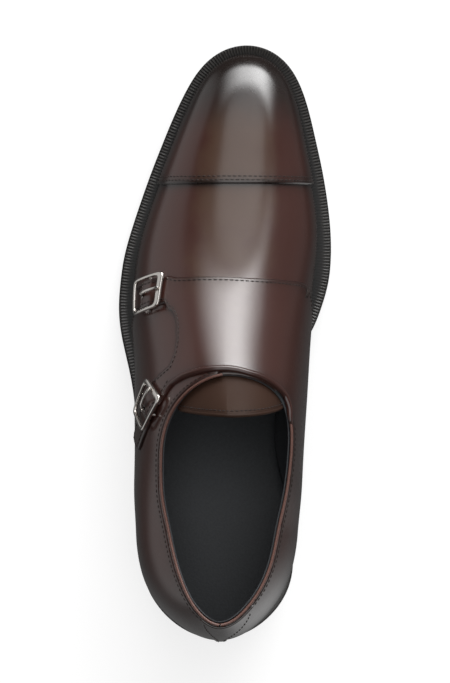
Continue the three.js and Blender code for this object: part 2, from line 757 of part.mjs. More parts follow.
/**
 * The frame: a rounded rectangle ring with a broad near bar, and a centre bar under it.
 * grow makes it larger all round, for the room that the strap leaves it.
 */
function buckle(strap, grow = 0) {
  const round = (v) => Math.sign(v) * Math.abs(v) ** (2 / FRAME_CORNER);
  const inner = { middle: (NEAR_BAR - FAR_BAR) / 2, length: BUCKLE_LENGTH - NEAR_BAR - FAR_BAR };
  const sections = Array.from({ length: FRAME_SIDES }, (_, k) => {
    const angle = (2 * Math.PI * (k + 0.5)) / FRAME_SIDES;
    const [c, d] = [round(Math.cos(angle)), round(Math.sin(angle))];
    const outside = [(BUCKLE_LENGTH / 2 + grow) * c, (BUCKLE_WIDTH / 2 + grow) * d];
    const within = [inner.middle + (inner.length / 2 - grow) * c, (BUCKLE_WIDTH / 2 - SIDE_BAR - grow) * d];
    return [
      strap.point(...outside, FRAME_LIFT - grow), strap.point(...outside, FRAME_TOP + grow),
      strap.point(...within, FRAME_TOP + grow), strap.point(...within, FRAME_LIFT - grow),
    ];
  });
  const faces = [];
  sections.forEach((a, k) => {
    const b = sections[(k + 1) % FRAME_SIDES];
    a.forEach((_, n) => faces.push([a[n], a[(n + 1) % 4], b[(n + 1) % 4], b[n]]));
  });
  const frame = toManifold(outward(solid(faces)));
  const half = BUCKLE_WIDTH / 2 + grow;
  const thick = CENTRE_BAR / 2 + grow;
  const low = STRAP_LIFT - grow;
  const centre = bar(strap, [-thick, -half, low], [thick, half, STRAP_LIFT + CENTRE_BAR + grow]);
  const lugs = [-1, 1].map((side) => {
    const [a, b] = [side * (half - SIDE_BAR - grow), side * half].sort((u, v) => u - v);
    return bar(strap, [-thick, a, low + 0.2], [thick, b, FRAME_LIFT + 1], 1);
  });
  return fromManifold([centre, ...lugs].reduce((whole, piece) => whole.add(toManifold(piece)), frame));
}

/** The prong lies on the strap with its tip on the near bar. */
function prong(strap) {
  const tip = -BUCKLE_LENGTH / 2 + 0.6;
  const low = FRAME_TOP + GAP + 0.4; // clear of the bend of the frame below its middle
  const half = PRONG_WIDTH / 2;
  return bar(strap, [tip, -half, low], [2, half, low + PRONG_THICKNESS], 1);
}

// ---------------------------------------------------------------- the shoe

const LEATHER = { color: 0x5a3a32, roughness: 0.3, metalness: 0 };
const BLACK_LEATHER = { color: 0x242220, roughness: 0.35, metalness: 0 };
const RUBBER = { color: 0x383634, roughness: 0.7, metalness: 0 };
const STEEL = { color: 0xd6cdc8, roughness: 0.2, metalness: 1 };

const shoe = new THREE.Group();

function add(name, geometry, look) {
  const mesh = new THREE.Mesh(geometry, new THREE.MeshStandardMaterial(look));
  mesh.name = name;
  shoe.add(mesh);
}

add("upper", upper(), LEATHER);
add("toe_cap", toeCap(), LEATHER);
add("lateral_quarter", lateralQuarter(), LEATHER);
add("medial_quarter", medialQuarter(), LEATHER);
add("tongue", tongue(), LEATHER);
add("insole", insole(), BLACK_LEATHER);
add("welt", welt(), BLACK_LEATHER);
add("outsole", outsole(), BLACK_LEATHER);
add("forefoot_tread", treadInlay(), RUBBER);
add("heel_stack", heelStack(), BLACK_LEATHER);
add("top_lift_rear", topLift(0, LIFT_SPLIT), RUBBER);
add("top_lift_front", topLift(LIFT_SPLIT + GAP, BREAST), BLACK_LEATHER);
for (const [place, strap] of Object.entries(straps)) {
  add(`buckle_${place}`, buckle(strap), STEEL);
  add(`prong_${place}`, prong(strap), STEEL);
}

const box = new THREE.Box3().setFromObject(shoe);
shoe.position.set(-(box.min.x + box.max.x) / 2, -(box.min.y + box.max.y) / 2, -box.min.z);

export default shoe;
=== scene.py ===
import math

import bmesh
import bpy
import numpy as np
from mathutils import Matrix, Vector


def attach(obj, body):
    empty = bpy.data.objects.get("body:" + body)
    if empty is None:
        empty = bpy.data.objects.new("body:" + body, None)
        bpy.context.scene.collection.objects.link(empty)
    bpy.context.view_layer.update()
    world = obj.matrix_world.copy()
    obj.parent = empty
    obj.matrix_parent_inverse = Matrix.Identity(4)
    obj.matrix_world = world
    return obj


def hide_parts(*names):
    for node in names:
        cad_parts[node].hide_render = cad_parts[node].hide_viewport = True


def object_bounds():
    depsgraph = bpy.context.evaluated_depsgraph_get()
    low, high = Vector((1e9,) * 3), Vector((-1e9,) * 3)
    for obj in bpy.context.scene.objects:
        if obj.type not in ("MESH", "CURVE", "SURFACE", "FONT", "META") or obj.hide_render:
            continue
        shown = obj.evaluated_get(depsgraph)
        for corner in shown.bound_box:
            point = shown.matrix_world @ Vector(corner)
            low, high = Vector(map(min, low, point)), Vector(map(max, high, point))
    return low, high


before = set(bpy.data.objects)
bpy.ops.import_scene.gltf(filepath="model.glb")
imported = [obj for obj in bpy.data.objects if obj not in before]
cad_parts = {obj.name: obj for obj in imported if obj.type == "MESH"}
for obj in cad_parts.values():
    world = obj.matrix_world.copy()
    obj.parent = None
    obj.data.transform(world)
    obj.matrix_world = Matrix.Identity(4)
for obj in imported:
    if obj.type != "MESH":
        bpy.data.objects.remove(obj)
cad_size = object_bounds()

# A double monk strap shoe for the left foot. Patterns are drawn in millimetres: x to the inner
# side, y from the back of the heel to the toe, z up from the floor. Finished pieces are put in
# the frame in metres.

# ------ outsole
# The long sole is firm cow leather, cut by a die and sewn to the welt. Its rounded edge is
# stained black and waxed, and the waist underneath is stained burgundy and burnished.

OUTLINE = """
y    centre width
0    -3.4   67
20   -3.4   74
45   -4.1   78.4
60   -4.8   78.9
75   -6     77.2
89   -8     73
107  -9.2   72.1
122  -9.8   73.6
134  -10    77
146  -7.2   88
158  -4.4   98.6
170  -2.4   104.6
183  -0.2   107.4
195  1.3    107
210  3.2    102.8
228  5.2    94.8
245  6.8    85.5
264  8.5    73.7
282  10.1   65
305  11.3   60.5
"""
SHOE_LENGTH = 305
SOLE_HEEL, SOLE_TOE = (40, 2.3), (50, 3)  # length and power of the two round ends
SOLE_ENDS = 0, SHOE_LENGTH, SOLE_HEEL, SOLE_TOE
HEEL_RISE = 23
TOE_SPRING, TOE_SPRING_POWER = 10.5, 1.8
SPRING_START, HEEL_SLOPE = 220, (180, 58)
SOLE_THICKNESS, WELT_THICKNESS, TREAD_PROUD, GLUE_LINE = 9.2, 3, 0.25, 0.3
WELT_START = 97
WAIST_BACK, WAIST_FRONT, WAIST_BOW, WAIST_MARGIN = 78, 145, 0.004, 3.5


def columns(text):
    """A natural cubic spline over y for each other column of a table."""
    names, *rows = [line.split() for line in text.strip().splitlines()]
    table = np.array(rows, float)
    return {name: spline(table[:, 0], table[:, k]) for k, name in enumerate(names) if k}


def spline(x, f):
    count, step = len(x), np.diff(x)
    system, turns = np.eye(count), np.zeros(count)
    for i in range(1, count - 1):
        system[i, i - 1:i + 2] = step[i - 1], 2 * (step[i - 1] + step[i]), step[i]
        turns[i] = 6 * ((f[i + 1] - f[i]) / step[i] - (f[i] - f[i - 1]) / step[i - 1])
    bend = np.linalg.solve(system, turns)

    def curve(at):
        t = np.clip(at, x[0], x[-1])
        i = np.clip(np.searchsorted(x, t) - 1, 0, count - 2)
        a, b = (x[i + 1] - t) / step[i], (t - x[i]) / step[i]
        arch = ((a**3 - a) * bend[i] + (b**3 - b) * bend[i + 1]) * step[i] ** 2 / 6
        return a * f[i] + b * f[i + 1] + arch

    return curve


def closing(y, start, end, back, front):
    """A half-width's factor: 1 in the middle, and 0 with a round end at start and end."""
    behind = np.clip((start + back[0] - y) / back[0], 0, 1)
    ahead = np.clip((y - end + front[0]) / front[0], 0, 1)
    return np.sqrt((1 - behind ** back[1]) * (1 - ahead ** front[1]))


def station(t, start, end, back, front):
    """y at a part t of the way along, evenly spaced round the two round ends."""
    straight = end - start - back[0] - front[0]
    along = np.asarray(t) * (math.pi / 2 * (back[0] + front[0]) + straight)
    ahead = along - math.pi / 2 * back[0]
    heel = start + back[0] * (1 - np.cos(along / back[0]))
    toe = end - front[0] + front[0] * np.sin((ahead - straight) / front[0])
    return np.where(ahead < 0, heel, np.where(ahead < straight, start + back[0] + ahead, toe))


def smoothstep(start, end, value):
    t = np.clip((value - start) / (end - start), 0, 1)
    return t * t * (3 - 2 * t)


def least(*values):
    return np.minimum.reduce(values)


def higher(line, step):
    return lambda y: line(y) + step


def rise(y):
    """Height of the shoe's underside above the floor."""
    spring = np.maximum(0, (y - SPRING_START) / (SHOE_LENGTH - SPRING_START))
    return HEEL_RISE * smoothstep(*HEEL_SLOPE, y) + TOE_SPRING * spring**TOE_SPRING_POWER


def feather(y):
    """Height of the edge where upper and sole meet."""
    return rise(y) + SOLE_THICKNESS


sole = columns(OUTLINE)


def sole_edge(t, side):
    y = station(t, *SOLE_ENDS)
    half = sole["width"](y) * closing(y, *SOLE_ENDS) / 2
    return np.stack([sole["centre"](y) + side * half, y], -1)


def inward(edge, t, side, distance):
    """Points of an outline, moved inwards by a distance."""
    small = 1e-4
    run = edge(np.minimum(t + small, 1), side) - edge(np.maximum(t - small, 0), side)
    run /= np.linalg.norm(run, axis=-1, keepdims=True) * -np.asarray(side)[..., None]
    return edge(t, side) + distance * np.stack([run[..., 1], -run[..., 0]], -1)


def within(edge):
    """Places between the two sides of an outline, for a slab."""

    def place(t, s, inset, height):
        sides = inward(edge, t, -1, inset), inward(edge, t, 1, inset)
        part = ((s + 1) / 2)[..., None]
        plan = sides[0] * (1 - part) + sides[1] * part
        return np.concatenate([plan, height(plan[..., 1])[..., None]], -1)

    return place


def numbered(points):
    """The number of each point in rows of points."""
    return np.arange(points[..., 0].size).reshape(points.shape[:-1])


def cells(grid):
    """Faces between neighbouring rows and columns of point numbers."""
    return np.stack([grid[:-1, :-1], grid[:-1, 1:], grid[1:, 1:], grid[1:, :-1]], -1).reshape(-1, 4)


def slab(place, layers, rows, across):
    """A closed plate through layers given from the bottom up, each as (inset, height)."""
    t, s = np.meshgrid(np.linspace(0, 1, rows + 1), np.linspace(-1, 1, across + 1), indexing="ij")
    grid = numbered(t[..., None])
    plate = cells(grid)
    loop = np.concatenate([grid[:-1, 0], grid[-1, :-1], grid[:0:-1, -1], grid[0, :0:-1]])
    points = np.concatenate([place(t, s, inset, height).reshape(-1, 3) for inset, height in layers])
    faces = [plate[:, ::-1], plate + t.size * (len(layers) - 1)]
    for k in range(len(layers) - 1):
        low, high = loop + t.size * k, loop + t.size * (k + 1)
        faces.append(np.stack([high, np.roll(high, -1), np.roll(low, -1), low], -1))
    return points, np.concatenate(faces).tolist()


PLACE = np.array([-0.000118, cad_size[0][1], cad_size[0][2]])


def pairs(ring):
    return zip(ring, ring[1:] + ring[:1])


def without_repeats(rings):
    """Rings of point numbers less repeats, and less rings with no area left."""
    rings = [[a for a, b in pairs(ring) if a != b] for ring in rings]
    return [ring for ring in rings if len(ring) > 2]


def make(name, points, faces, slot_name, look, fields=None, sharp=50):
    """A smooth mesh from points in mm, welded, with a value per point for each field."""
    rounded = np.round(points, 3)
    _, first, number = np.unique(rounded, axis=0, return_index=True, return_inverse=True)
    number = number.ravel().tolist()
    rings = without_repeats([number[v] for v in face] for face in faces)
    mesh = bpy.data.meshes.new(name)
    mesh.from_pydata((points[first] * 0.001 + PLACE).tolist(), [], rings)
    for key, values in (fields or {}).items():
        layer = mesh.attributes.new(key, "FLOAT", "POINT")
        layer.data.foreach_set("value", np.asarray(values, np.float32)[first])
    work = bmesh.new()
    work.from_mesh(mesh)
    bmesh.ops.delete(work, geom=[v for v in work.verts if not v.link_faces], context="VERTS")
    work.to_mesh(mesh)
    work.free()
    mesh.shade_smooth()
    mesh.set_sharp_from_angle(angle=math.radians(sharp))
    mesh.materials.append(look)
    piece = bpy.data.objects.new(name, mesh)
    bpy.context.scene.collection.objects.link(piece)
    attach(piece, "root")
    return piece


class Wire:
    """A shader socket with arithmetic: an expression adds the nodes that work it out."""

    def __init__(self, socket):
        self.socket = socket

    def node(self, kind, settings=None, inputs=None, output=0):
        """Adds a node to the same material, sets and links it, and gives one of its outputs."""
        node = self.socket.id_data.nodes.new(kind)
        for key, value in (settings or {}).items():
            setattr(node, key, value)
        for key, value in (inputs or {}).items():
            Wire(node.inputs[key]).take(value)
        return Wire(node.outputs[output])

    def take(self, value):
        """Links a wire to this input, or sets its value."""
        if isinstance(value, Wire):
            self.socket.id_data.links.new(value.socket, self.socket)
        else:
            self.socket.default_value = value

    def math(self, operation, *values):
        return self.node("ShaderNodeMath", {"operation": operation}, dict(enumerate(values)))

    def __add__(self, other):
        return self.math("ADD", self, other)

    def __sub__(self, other):
        return self.math("SUBTRACT", self, other)

    def __rsub__(self, other):
        return self.math("SUBTRACT", other, self)

    def __mul__(self, other):
        return self.math("MULTIPLY", self, other)

    __radd__ = __add__
    __rmul__ = __mul__

    def between(self, low, high):
        """0 at low and 1 at high, smooth at both ends."""
        limits = {"Value": self, "From Min": low, "From Max": high}
        return self.node("ShaderNodeMapRange", {"interpolation_type": "SMOOTHSTEP"}, limits)

    def mix(self, low, high):
        """A colour from low to high as this value goes from 0 to 1."""
        inputs = {0: self, 6: low, 7: high}
        return self.node("ShaderNodeMix", {"data_type": "RGBA"}, inputs, 2)

    def noise(self, scale, detail=3.0, rough=0.55):
        """Noise over the object's own space, with scale in waves per metre."""
        place = self.node("ShaderNodeTexCoord", output="Object")
        inputs = {"Vector": place, "Scale": scale, "Detail": detail, "Roughness": rough}
        return self.node("ShaderNodeTexNoise", inputs=inputs)

    def field(self, name):
        """A value that the mesh carries."""
        return self.node("ShaderNodeAttribute", {"attribute_name": name}, output="Fac")

    def bump(self, height, distance):
        inputs = {"Strength": 1.0, "Distance": distance, "Height": height}
        return self.node("ShaderNodeBump", inputs=inputs)


def material(name, **constants):
    """A new material with constants on its shader, and wires to the shader's inputs."""
    made = bpy.data.materials.new(name)
    made.use_nodes = True
    inputs = made.node_tree.nodes["Principled BSDF"].inputs
    for key, value in constants.items():
        inputs[key.replace("_", " ")].default_value = value
    return made, {socket.name: Wire(socket) for socket in inputs}


def rgb(red, green, blue):
    """A colour from screen values of 0 to 255."""
    return (*[((v / 255 + 0.055) / 1.055) ** 2.4 for v in (red, green, blue)], 1.0)


def mottled(name, scale, low, high, rough=None, relief=None, detail=3.0, **constants):
    """A material whose colour, roughness (change, least) and grain follow one noise."""
    made, into = material(name, **constants)
    grain = into["Base Color"].noise(scale, detail)
    into["Base Color"].take(grain.mix(rgb(*low), rgb(*high)))
    if rough:
        into["Roughness"].take(grain * rough[0] + rough[1])
    if relief:
        into["Normal"].take(grain.bump(grain, relief))
    return made


sole_leather, into = material("waxed sole leather", Coat_Weight=0.35, Coat_Roughness=0.2)
colour = into["Base Color"]
stain = colour.noise(160.0).mix(rgb(66, 40, 40), rgb(78, 48, 46))
black = colour.noise(220.0).mix(rgb(30, 28, 27), rgb(42, 39, 37))
colour.take(colour.field("waist").mix(black, stain))
into["Roughness"].take(colour.noise(300.0) * 0.15 + 0.3)
into["Normal"].take(colour.bump(colour.noise(1500.0), 0.00005))


def sole_high(y):
    step = WELT_THICKNESS * smoothstep(WELT_START - 2, WELT_START - 0.4, y)
    return feather(y) - GLUE_LINE - step


sole_low = higher(rise, TREAD_PROUD)
sole_layers = [(3.0, sole_low), (1.0, higher(sole_low, 0.12)), (0.3, higher(sole_low, 0.6)),
               (0, higher(sole_low, 1.6)), (0, higher(sole_high, -1.2)),
               (0.25, higher(sole_high, -0.4)), (0.9, sole_high)]
points, faces = slab(within(sole_edge), sole_layers, rows=320, across=48)
x, y, z = points.T
middle, half = sole["centre"](y), sole["width"](y) / 2
front_line = WAIST_FRONT + WAIST_BOW * (x - middle) ** 2
margin = half - WAIST_MARGIN - np.abs(x - middle)
waist = smoothstep(0, 1.2, least(front_line - y, margin, y - WAIST_BACK)) * (z < sole_low(y) + 0.1)
outsole = make("outsole_leather", points, faces, "sole_leather", sole_leather, {"waist": waist}, 40)
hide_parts("outsole")

# ------ forefoot tread
# A thin teardrop of black rubber is let into the sole under the ball of the foot for grip.
# It is moulded with a fine matt grain, glued in, and stands a little proud.

TREAD = """
y   centre width
151 -8.5   50
160 -6.5   54.5
173 -2.5   67
189 1.2    72
203 3.2    69
218 5.3    63.4
231 7      57
247 8.6    46.7
268 10.6   31
285 11.6   24
"""
TREAD_ENDS = 151, 285, (10, 2.2), (8, 2.2)
tread = columns(TREAD)


def tread_edge(t, side):
    y = station(t, *TREAD_ENDS)
    half = tread["width"](y) * closing(y, *TREAD_ENDS) / 2
    return np.stack([tread["centre"](y) + side * half, y], -1)


rubber = mottled("moulded rubber", 1800.0, (56, 52, 51), (70, 65, 63), (0.15, 0.6), 0.0002,
                 detail=2.0, Specular_IOR_Level=0.35)

tread_layers = [(0.6, rise), (0, higher(rise, 0.25)), (0, higher(rise, 2.2))]
points, faces = slab(within(tread_edge), tread_layers, rows=90, across=24)
inlay = make("tread_inlay", points, faces, "tread_rubber", rubber)
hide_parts("forefoot_tread")

# ------ heel
# Leather lifts are glued and nailed in a stack, then trimmed and stained together, so the
# joints show as fine lines. The lowest lift is leather in front and hard rubber behind.

BREAST, BREAST_CURVE, LIFT_SPLIT, LIFT_HEIGHT, HEEL_TAPER = 80, 0.0055, 45, 7, 1.6
JOINT_REACH, JOINT_DEPTH = 0.35, 0.22


def heel_place(start, end):
    """Places in the heel between two lines across it, for a slab; the last is the breast."""
    radius = SOLE_HEEL[0]
    corner = radius * math.pi / 2

    def turn(y):
        return math.acos(1 - y / radius) * radius if y < radius else corner - radius + y

    def place(t, s, inset, height):
        along = turn(start) + (turn(end) - turn(start)) * t
        y = np.where(along < corner, radius * (1 - np.cos(along / radius)), along - corner + radius)
        middle, width = sole["centre"](y), sole["width"](y)
        x = middle + width / 2 * closing(y, *SOLE_ENDS) * s
        bowed = BREAST_CURVE * (x - sole["centre"](BREAST)) ** 2
        y = y + bowed * smoothstep(LIFT_SPLIT, BREAST, y)
        z = height(y)
        middle, width = sole["centre"](y), sole["width"](y)
        drawn = HEEL_TAPER * (1 - z / HEEL_RISE) + inset
        back = HEEL_TAPER * (1 - z / HEEL_RISE) * (1 - y / BREAST) + inset * (1 - 2 * y / BREAST)
        return np.stack([middle + (x - middle) * (1 - 2 * drawn / width), y + back, z], -1)

    return place


def flat(height):
    return lambda y: np.full_like(y, height)


def lift_joint(level):
    """A fine groove round the stack where two lifts meet."""
    return [(0, flat(level - JOINT_REACH)), (JOINT_DEPTH, flat(level)), (0, flat(level + JOINT_REACH))]


heel_leather = mottled("stained heel leather", 500.0, (34, 31, 30), (50, 46, 44), (0.15, 0.32),
                       0.00006, detail=4.0, Coat_Weight=0.3, Coat_Roughness=0.22)

stack_layers = [(0.3, flat(LIFT_HEIGHT + 0.1)), (0, flat(LIFT_HEIGHT + 0.5)), *lift_joint(11),
                *lift_joint(15), (0, flat(18.5)), (0, higher(sole_low, -GLUE_LINE))]
points, faces = slab(heel_place(0, BREAST), stack_layers, rows=60, across=24)
heel_stack = make("heel_lifts", points, faces, "heel_leather", heel_leather, sharp=35)
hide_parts("heel_stack")

lift_layers = [(1.0, flat(0)), (0.3, flat(0.25)), (0, flat(0.9)), (0, flat(LIFT_HEIGHT - 0.4)),
               (0.3, flat(LIFT_HEIGHT))]
points, faces = slab(heel_place(0, LIFT_SPLIT), lift_layers, rows=40, across=24)
rear_lift = make("top_lift_rubber", points, faces, "tread_rubber", rubber, sharp=35)
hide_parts("top_lift_rear")
points, faces = slab(heel_place(LIFT_SPLIT + GLUE_LINE, BREAST), lift_layers, rows=30, across=24)
front_lift = make("top_lift_leather", points, faces, "heel_leather", heel_leather, sharp=35)
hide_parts("top_lift_front")

# ------ vamp and lining
# The vamp is calf leather, crust dyed, pulled over the last and tacked under the insole, then
# waxed and burnished dark at the toe, the welt and the edges, with painted shade low along the welt.
# The lining is thin black calf.

LAST = """
y   centre width ridge top   wall outer inner outer_tuck inner_tuck
0   -2.8   70    0     112   2.5  0.66  1.0   0.05       0.07
12  -4.1   77    1.2   112   2.5  0.65  1.02  0.05       0.07
26  -4.5   80.5  2.4   112   2.5  0.63  1.04  0.05       0.08
42  -4.3   81    3     112   2.5  0.6   1.06  0.04       0.09
58  -4.0   82.2  3.2   112   2.5  0.6   1.12  0.04       0.1
75  -3.6   84.6  3.4   111.7 2.5  0.72  1.45  0.04       0.16
88  -3.2   85    3.6   111   2.5  0.86  1.85  0.04       0.26
104 -2.7   85.6  3.8   108.4 2.5  1.1   2.3   0.04       0.33
120 -2.1   87    3.2   102.5 2.4  1.3   2.2   0.03       0.32
138 -1.4   88.6  2.0   92.5  2.2  1.65  2.05  0.03       0.22
158 -1.5   91.6  1.8   80.6  2.1  1.85  2     0.03       0.09
182 -0.7   94.2  2.2   66.9  2.05 1.95  2     0.03       0.04
205 2.2    92.6  1.8   57.2  2.05 2     2.05  0.03       0.03
228 4.9    83    1     50    2.1  2.1   2.1   0.03       0.03
252 7.2    68.6  0.4   44.8  2.15 2.2   2.2   0.03       0.03
276 9.6    57    0     42    2.2  2.3   2.3   0.03       0.03
299 11.3   54    0     41    2.2  2.3   2.3   0.03       0.03
"""
TOPLINE = """
y   outer inner
0   90    90
14  88.5  88.5
30  84.5  85.5
50  79    82
70  76.3  80
88  76.4  79.2
104 78.5  79.2
118 82.5  80
128 88    85
140 97    97
165 112   112
"""
LAST_LENGTH, LAST_HEEL, LAST_TOE = 299, (55, 2), (49, 3)
LAST_ENDS = 0, LAST_LENGTH, LAST_HEEL, LAST_TOE
TOE_DROP, TUCK_HEIGHT = 2.3, 0.3
LEAN_LEVEL, LEAN, LEAN_EASE, BACK_LEATHER = 50, 0.0102, -0.00012, 1.7
LAST_RUN, LAST_GIRTH = 370, 200  # only for the number of its cells
VAMP_REAR, CAP_LINE, CAP_LAP = 128, 233, 9
VAMP_THICKNESS, LINING_THICKNESS, LINING_LIFT = 0.9, 0.85, -1.8
last, topline = columns(LAST), columns(TOPLINE)


def matched(*values):
    """Arrays of one shape."""
    return np.broadcast_arrays(*[np.asarray(v, float) for v in values])


def last_point(y, turn):
    """Points of the last: turn is -1 at the outer feather edge, 0 on the crest, 1 inner."""
    y, turn = matched(y, turn)
    close = closing(y, *LAST_ENDS)
    ahead = np.clip((y - LAST_LENGTH + LAST_TOE[0]) / LAST_TOE[0], 0, 1)
    height = (last["top"](y) - feather(y)) * np.sqrt(1 - ahead**TOE_DROP)
    up = np.maximum(np.cos(np.abs(turn) * math.pi / 2), 0)
    outer = turn < 0
    power = np.where(outer, last["outer"](y), last["inner"](y))
    tuck = np.where(outer, last["outer_tuck"](y), last["inner_tuck"](y))
    side = np.where(outer, -1, 1)
    half = close * (last["width"](y) / 2 - side * last["ridge"](y))
    full = np.maximum(0, 1 - up ** last["wall"](y)) ** (1 / power)
    drawn = 1 - tuck * np.maximum(0, 1 - up / TUCK_HEIGHT) ** 2
    x = last["centre"](y) + last["ridge"](y) * close + side * half * full * drawn
    z = feather(y) + height * up
    level = z - LEAN_LEVEL
    fade = np.maximum(0, 1 - y / LAST_HEEL[0]) ** 2
    back = y + (LEAN * level**2 + LEAN_EASE * level**3 + BACK_LEATHER) * fade
    return np.stack([x, back, z], -1)


SLIVER = 0.04  # a cut keeps this far off the points of the sheet


def unit(vectors):
    return vectors / np.maximum(np.linalg.norm(vectors, axis=-1, keepdims=True), 1e-9)


def run_length(points):
    """The length of each row of points up to each of its points."""
    steps = np.linalg.norm(np.diff(points, axis=-2), axis=-1)
    return np.pad(steps.cumsum(-1), [(0, 0)] * (steps.ndim - 1) + [(1, 0)])


class Sheet:
    """Leather on the last: a row of values for each point, and rings of points."""

    names = dict(at=slice(0, 3), x=0, z=2, normal=slice(3, 6), girth=6, y=7, foot=8, keep=9)

    def __init__(self, values, rings=()):
        self.values, self.rings = values, rings

    def __getitem__(self, name):
        return self.values[:, self.names[name]]

    def split(self, level):
        """The parts of the sheet where keep is above a level and below it."""
        above = self["keep"] - level
        above = np.where(np.abs(above) < SLIVER, np.where(above < 0, -SLIVER, SLIVER), above).tolist()
        extra, cuts, parts = [], {}, ([], [])
        for ring in self.rings:
            states = [above[v] > 0 for v in ring]
            if all(states) or not any(states):
                parts[not states[0]].append(ring)
                continue
            rings = [], []
            for a, b in pairs(ring):
                rings[above[a] < 0].append(a)
                if (above[a] > 0) != (above[b] > 0):
                    key = min(a, b), max(a, b)
                    if key not in cuts:
                        part = above[key[0]] / (above[key[0]] - above[key[1]])
                        cuts[key] = len(above) + len(extra)
                        extra.append(self.values[key[0]] * (1 - part) + self.values[key[1]] * part)
                    rings[0].append(cuts[key])
                    rings[1].append(cuts[key])
            parts[0].append(rings[0])
            parts[1].append(rings[1])
        values = np.concatenate([self.values, np.reshape(extra, (-1, self.values.shape[1]))])
        return Sheet(values, parts[0]), Sheet(values, parts[1])

    def border(self):
        """The edges that only one ring has, in its direction."""
        edges = {}
        for ring in self.rings:
            for a, b in pairs(ring):
                if (b, a) in edges:
                    del edges[b, a]
                else:
                    edges[a, b] = None
        return list(edges)


def whole_last(cell, start, end, joined):
    """A sheet over the last with cells of a size in mm; joined closes it down the back."""
    y = station(np.linspace(0, 1, int(LAST_RUN / cell) + 1), *LAST_ENDS)
    y = y[(y >= start - cell) & (y <= end + cell)]
    half = int(LAST_GIRTH / 2 / cell)
    turn = np.linspace(-1, 1, 2 * half + 1)
    at = last_point(y[:, None], turn[None, :])
    normal = unit(np.cross(np.gradient(at, axis=1), np.gradient(at, axis=0)))
    index = numbered(at)
    foot = np.zeros(at.shape[:2])
    foot[:, [0, -1]] = 1
    if y[0] < 1e-6:
        normal[0] = unit(normal[0] + normal[0, ::-1])
        if joined:
            index[0] = np.minimum(index[0], index[0, ::-1])
    if y[-1] > LAST_LENGTH - 1e-6:
        normal[-1] = (0, 1, 0)
        foot[-1] = 1
        index[-1] = index[-1, 0]
    normal[foot > 0, 2] = 0
    girth = run_length(at)
    girth -= girth[:, half:half + 1]
    others = np.stack([girth, y[:, None] + 0 * girth, foot, 0 * girth], -1)
    values = np.concatenate([at, unit(normal), others], -1)
    return Sheet(values.reshape(-1, values.shape[-1]), without_repeats(cells(index).tolist()))


def cut(keep, cell, start=0, end=LAST_LENGTH, joined=False, level=0.0):
    """The part of the last where a field is above a level."""
    sheet = whole_last(cell, start, end, joined)
    sheet.values[:, Sheet.names["keep"]] = keep(sheet)
    return sheet.split(level)[0]


def burnish_and_shade(sheet, dark):
    """How dark each place is: burnish at the toe, the welt, the heel and the edges, plus painted shade
    low along the welt and painted shadow beside the cap's seam.
    """
    y = sheet["at"][:, 1]
    above = np.maximum(sheet["z"] - feather(sheet["y"]), 0)
    toe = smoothstep(252, 293, y)
    # painted shade low along the welt, on top of the burnish there
    welt_burnish_and_shade = 0.9 * np.exp(-above / (6 + 8 * smoothstep(225, 285, y)))
    heel = 0.5 * smoothstep(60, 4, y)
    edges = dark * np.exp(-np.maximum(sheet["keep"], 0) / 3.0)
    # a dark seam line with painted shadow on both sides of the cap's edge
    cap_seam_and_shadow = 0.75 * np.exp(-np.abs(sheet["y"] - CAP_LINE) / 2.6)
    return 1 - (1 - toe) * (1 - welt_burnish_and_shade) * (1 - heel) * (1 - edges) * (1 - cap_seam_and_shadow)


def per_point(value, sheet):
    """A value for each point, from a number or from a function of the sheet."""
    return value(sheet) if callable(value) else value + 0 * sheet["y"]


def panel(name, sheet, lift, thickness, slot_name, look, dark=0.6, edge=0.9):
    """A cut piece with its walls and a rounded upper edge, from lift to lift + thickness."""
    for level in (edge, edge / 3):
        above, below = sheet.split(level)
        sheet = Sheet(above.values, above.rings + below.rings)
    low = per_point(lift, sheet)
    high = low + thickness * (1 - 0.5 * np.maximum(0, 1 - sheet["keep"] / edge) ** 2)
    layers = []
    for height in (high, low):
        points = sheet["at"] + sheet["normal"] * height[:, None]
        points[:, 2] = np.where(sheet["foot"] > 0.5, feather(points[:, 1]), points[:, 2])
        layers.append(points)
    count = len(low)
    faces = sheet.rings + [[v + count for v in reversed(ring)] for ring in sheet.rings]
    faces += [[b, a, a + count, b + count] for a, b in sheet.border()]
    # burnish with painted shade, and how level each point lies, which the calf turns into painted
    # light and shade
    fields = {"burnish_and_shade": np.tile(burnish_and_shade(sheet, dark), 2), "level": np.tile(sheet["normal"][:, 2], 2)}
    return make(name, np.concatenate(layers), faces, slot_name, look, fields, 70)


def below_topline(sheet):
    x, y, z = sheet["at"].T
    inner = smoothstep(-20, 20, x)
    return topline["outer"](y) * (1 - inner) + topline["inner"](y) * inner - z


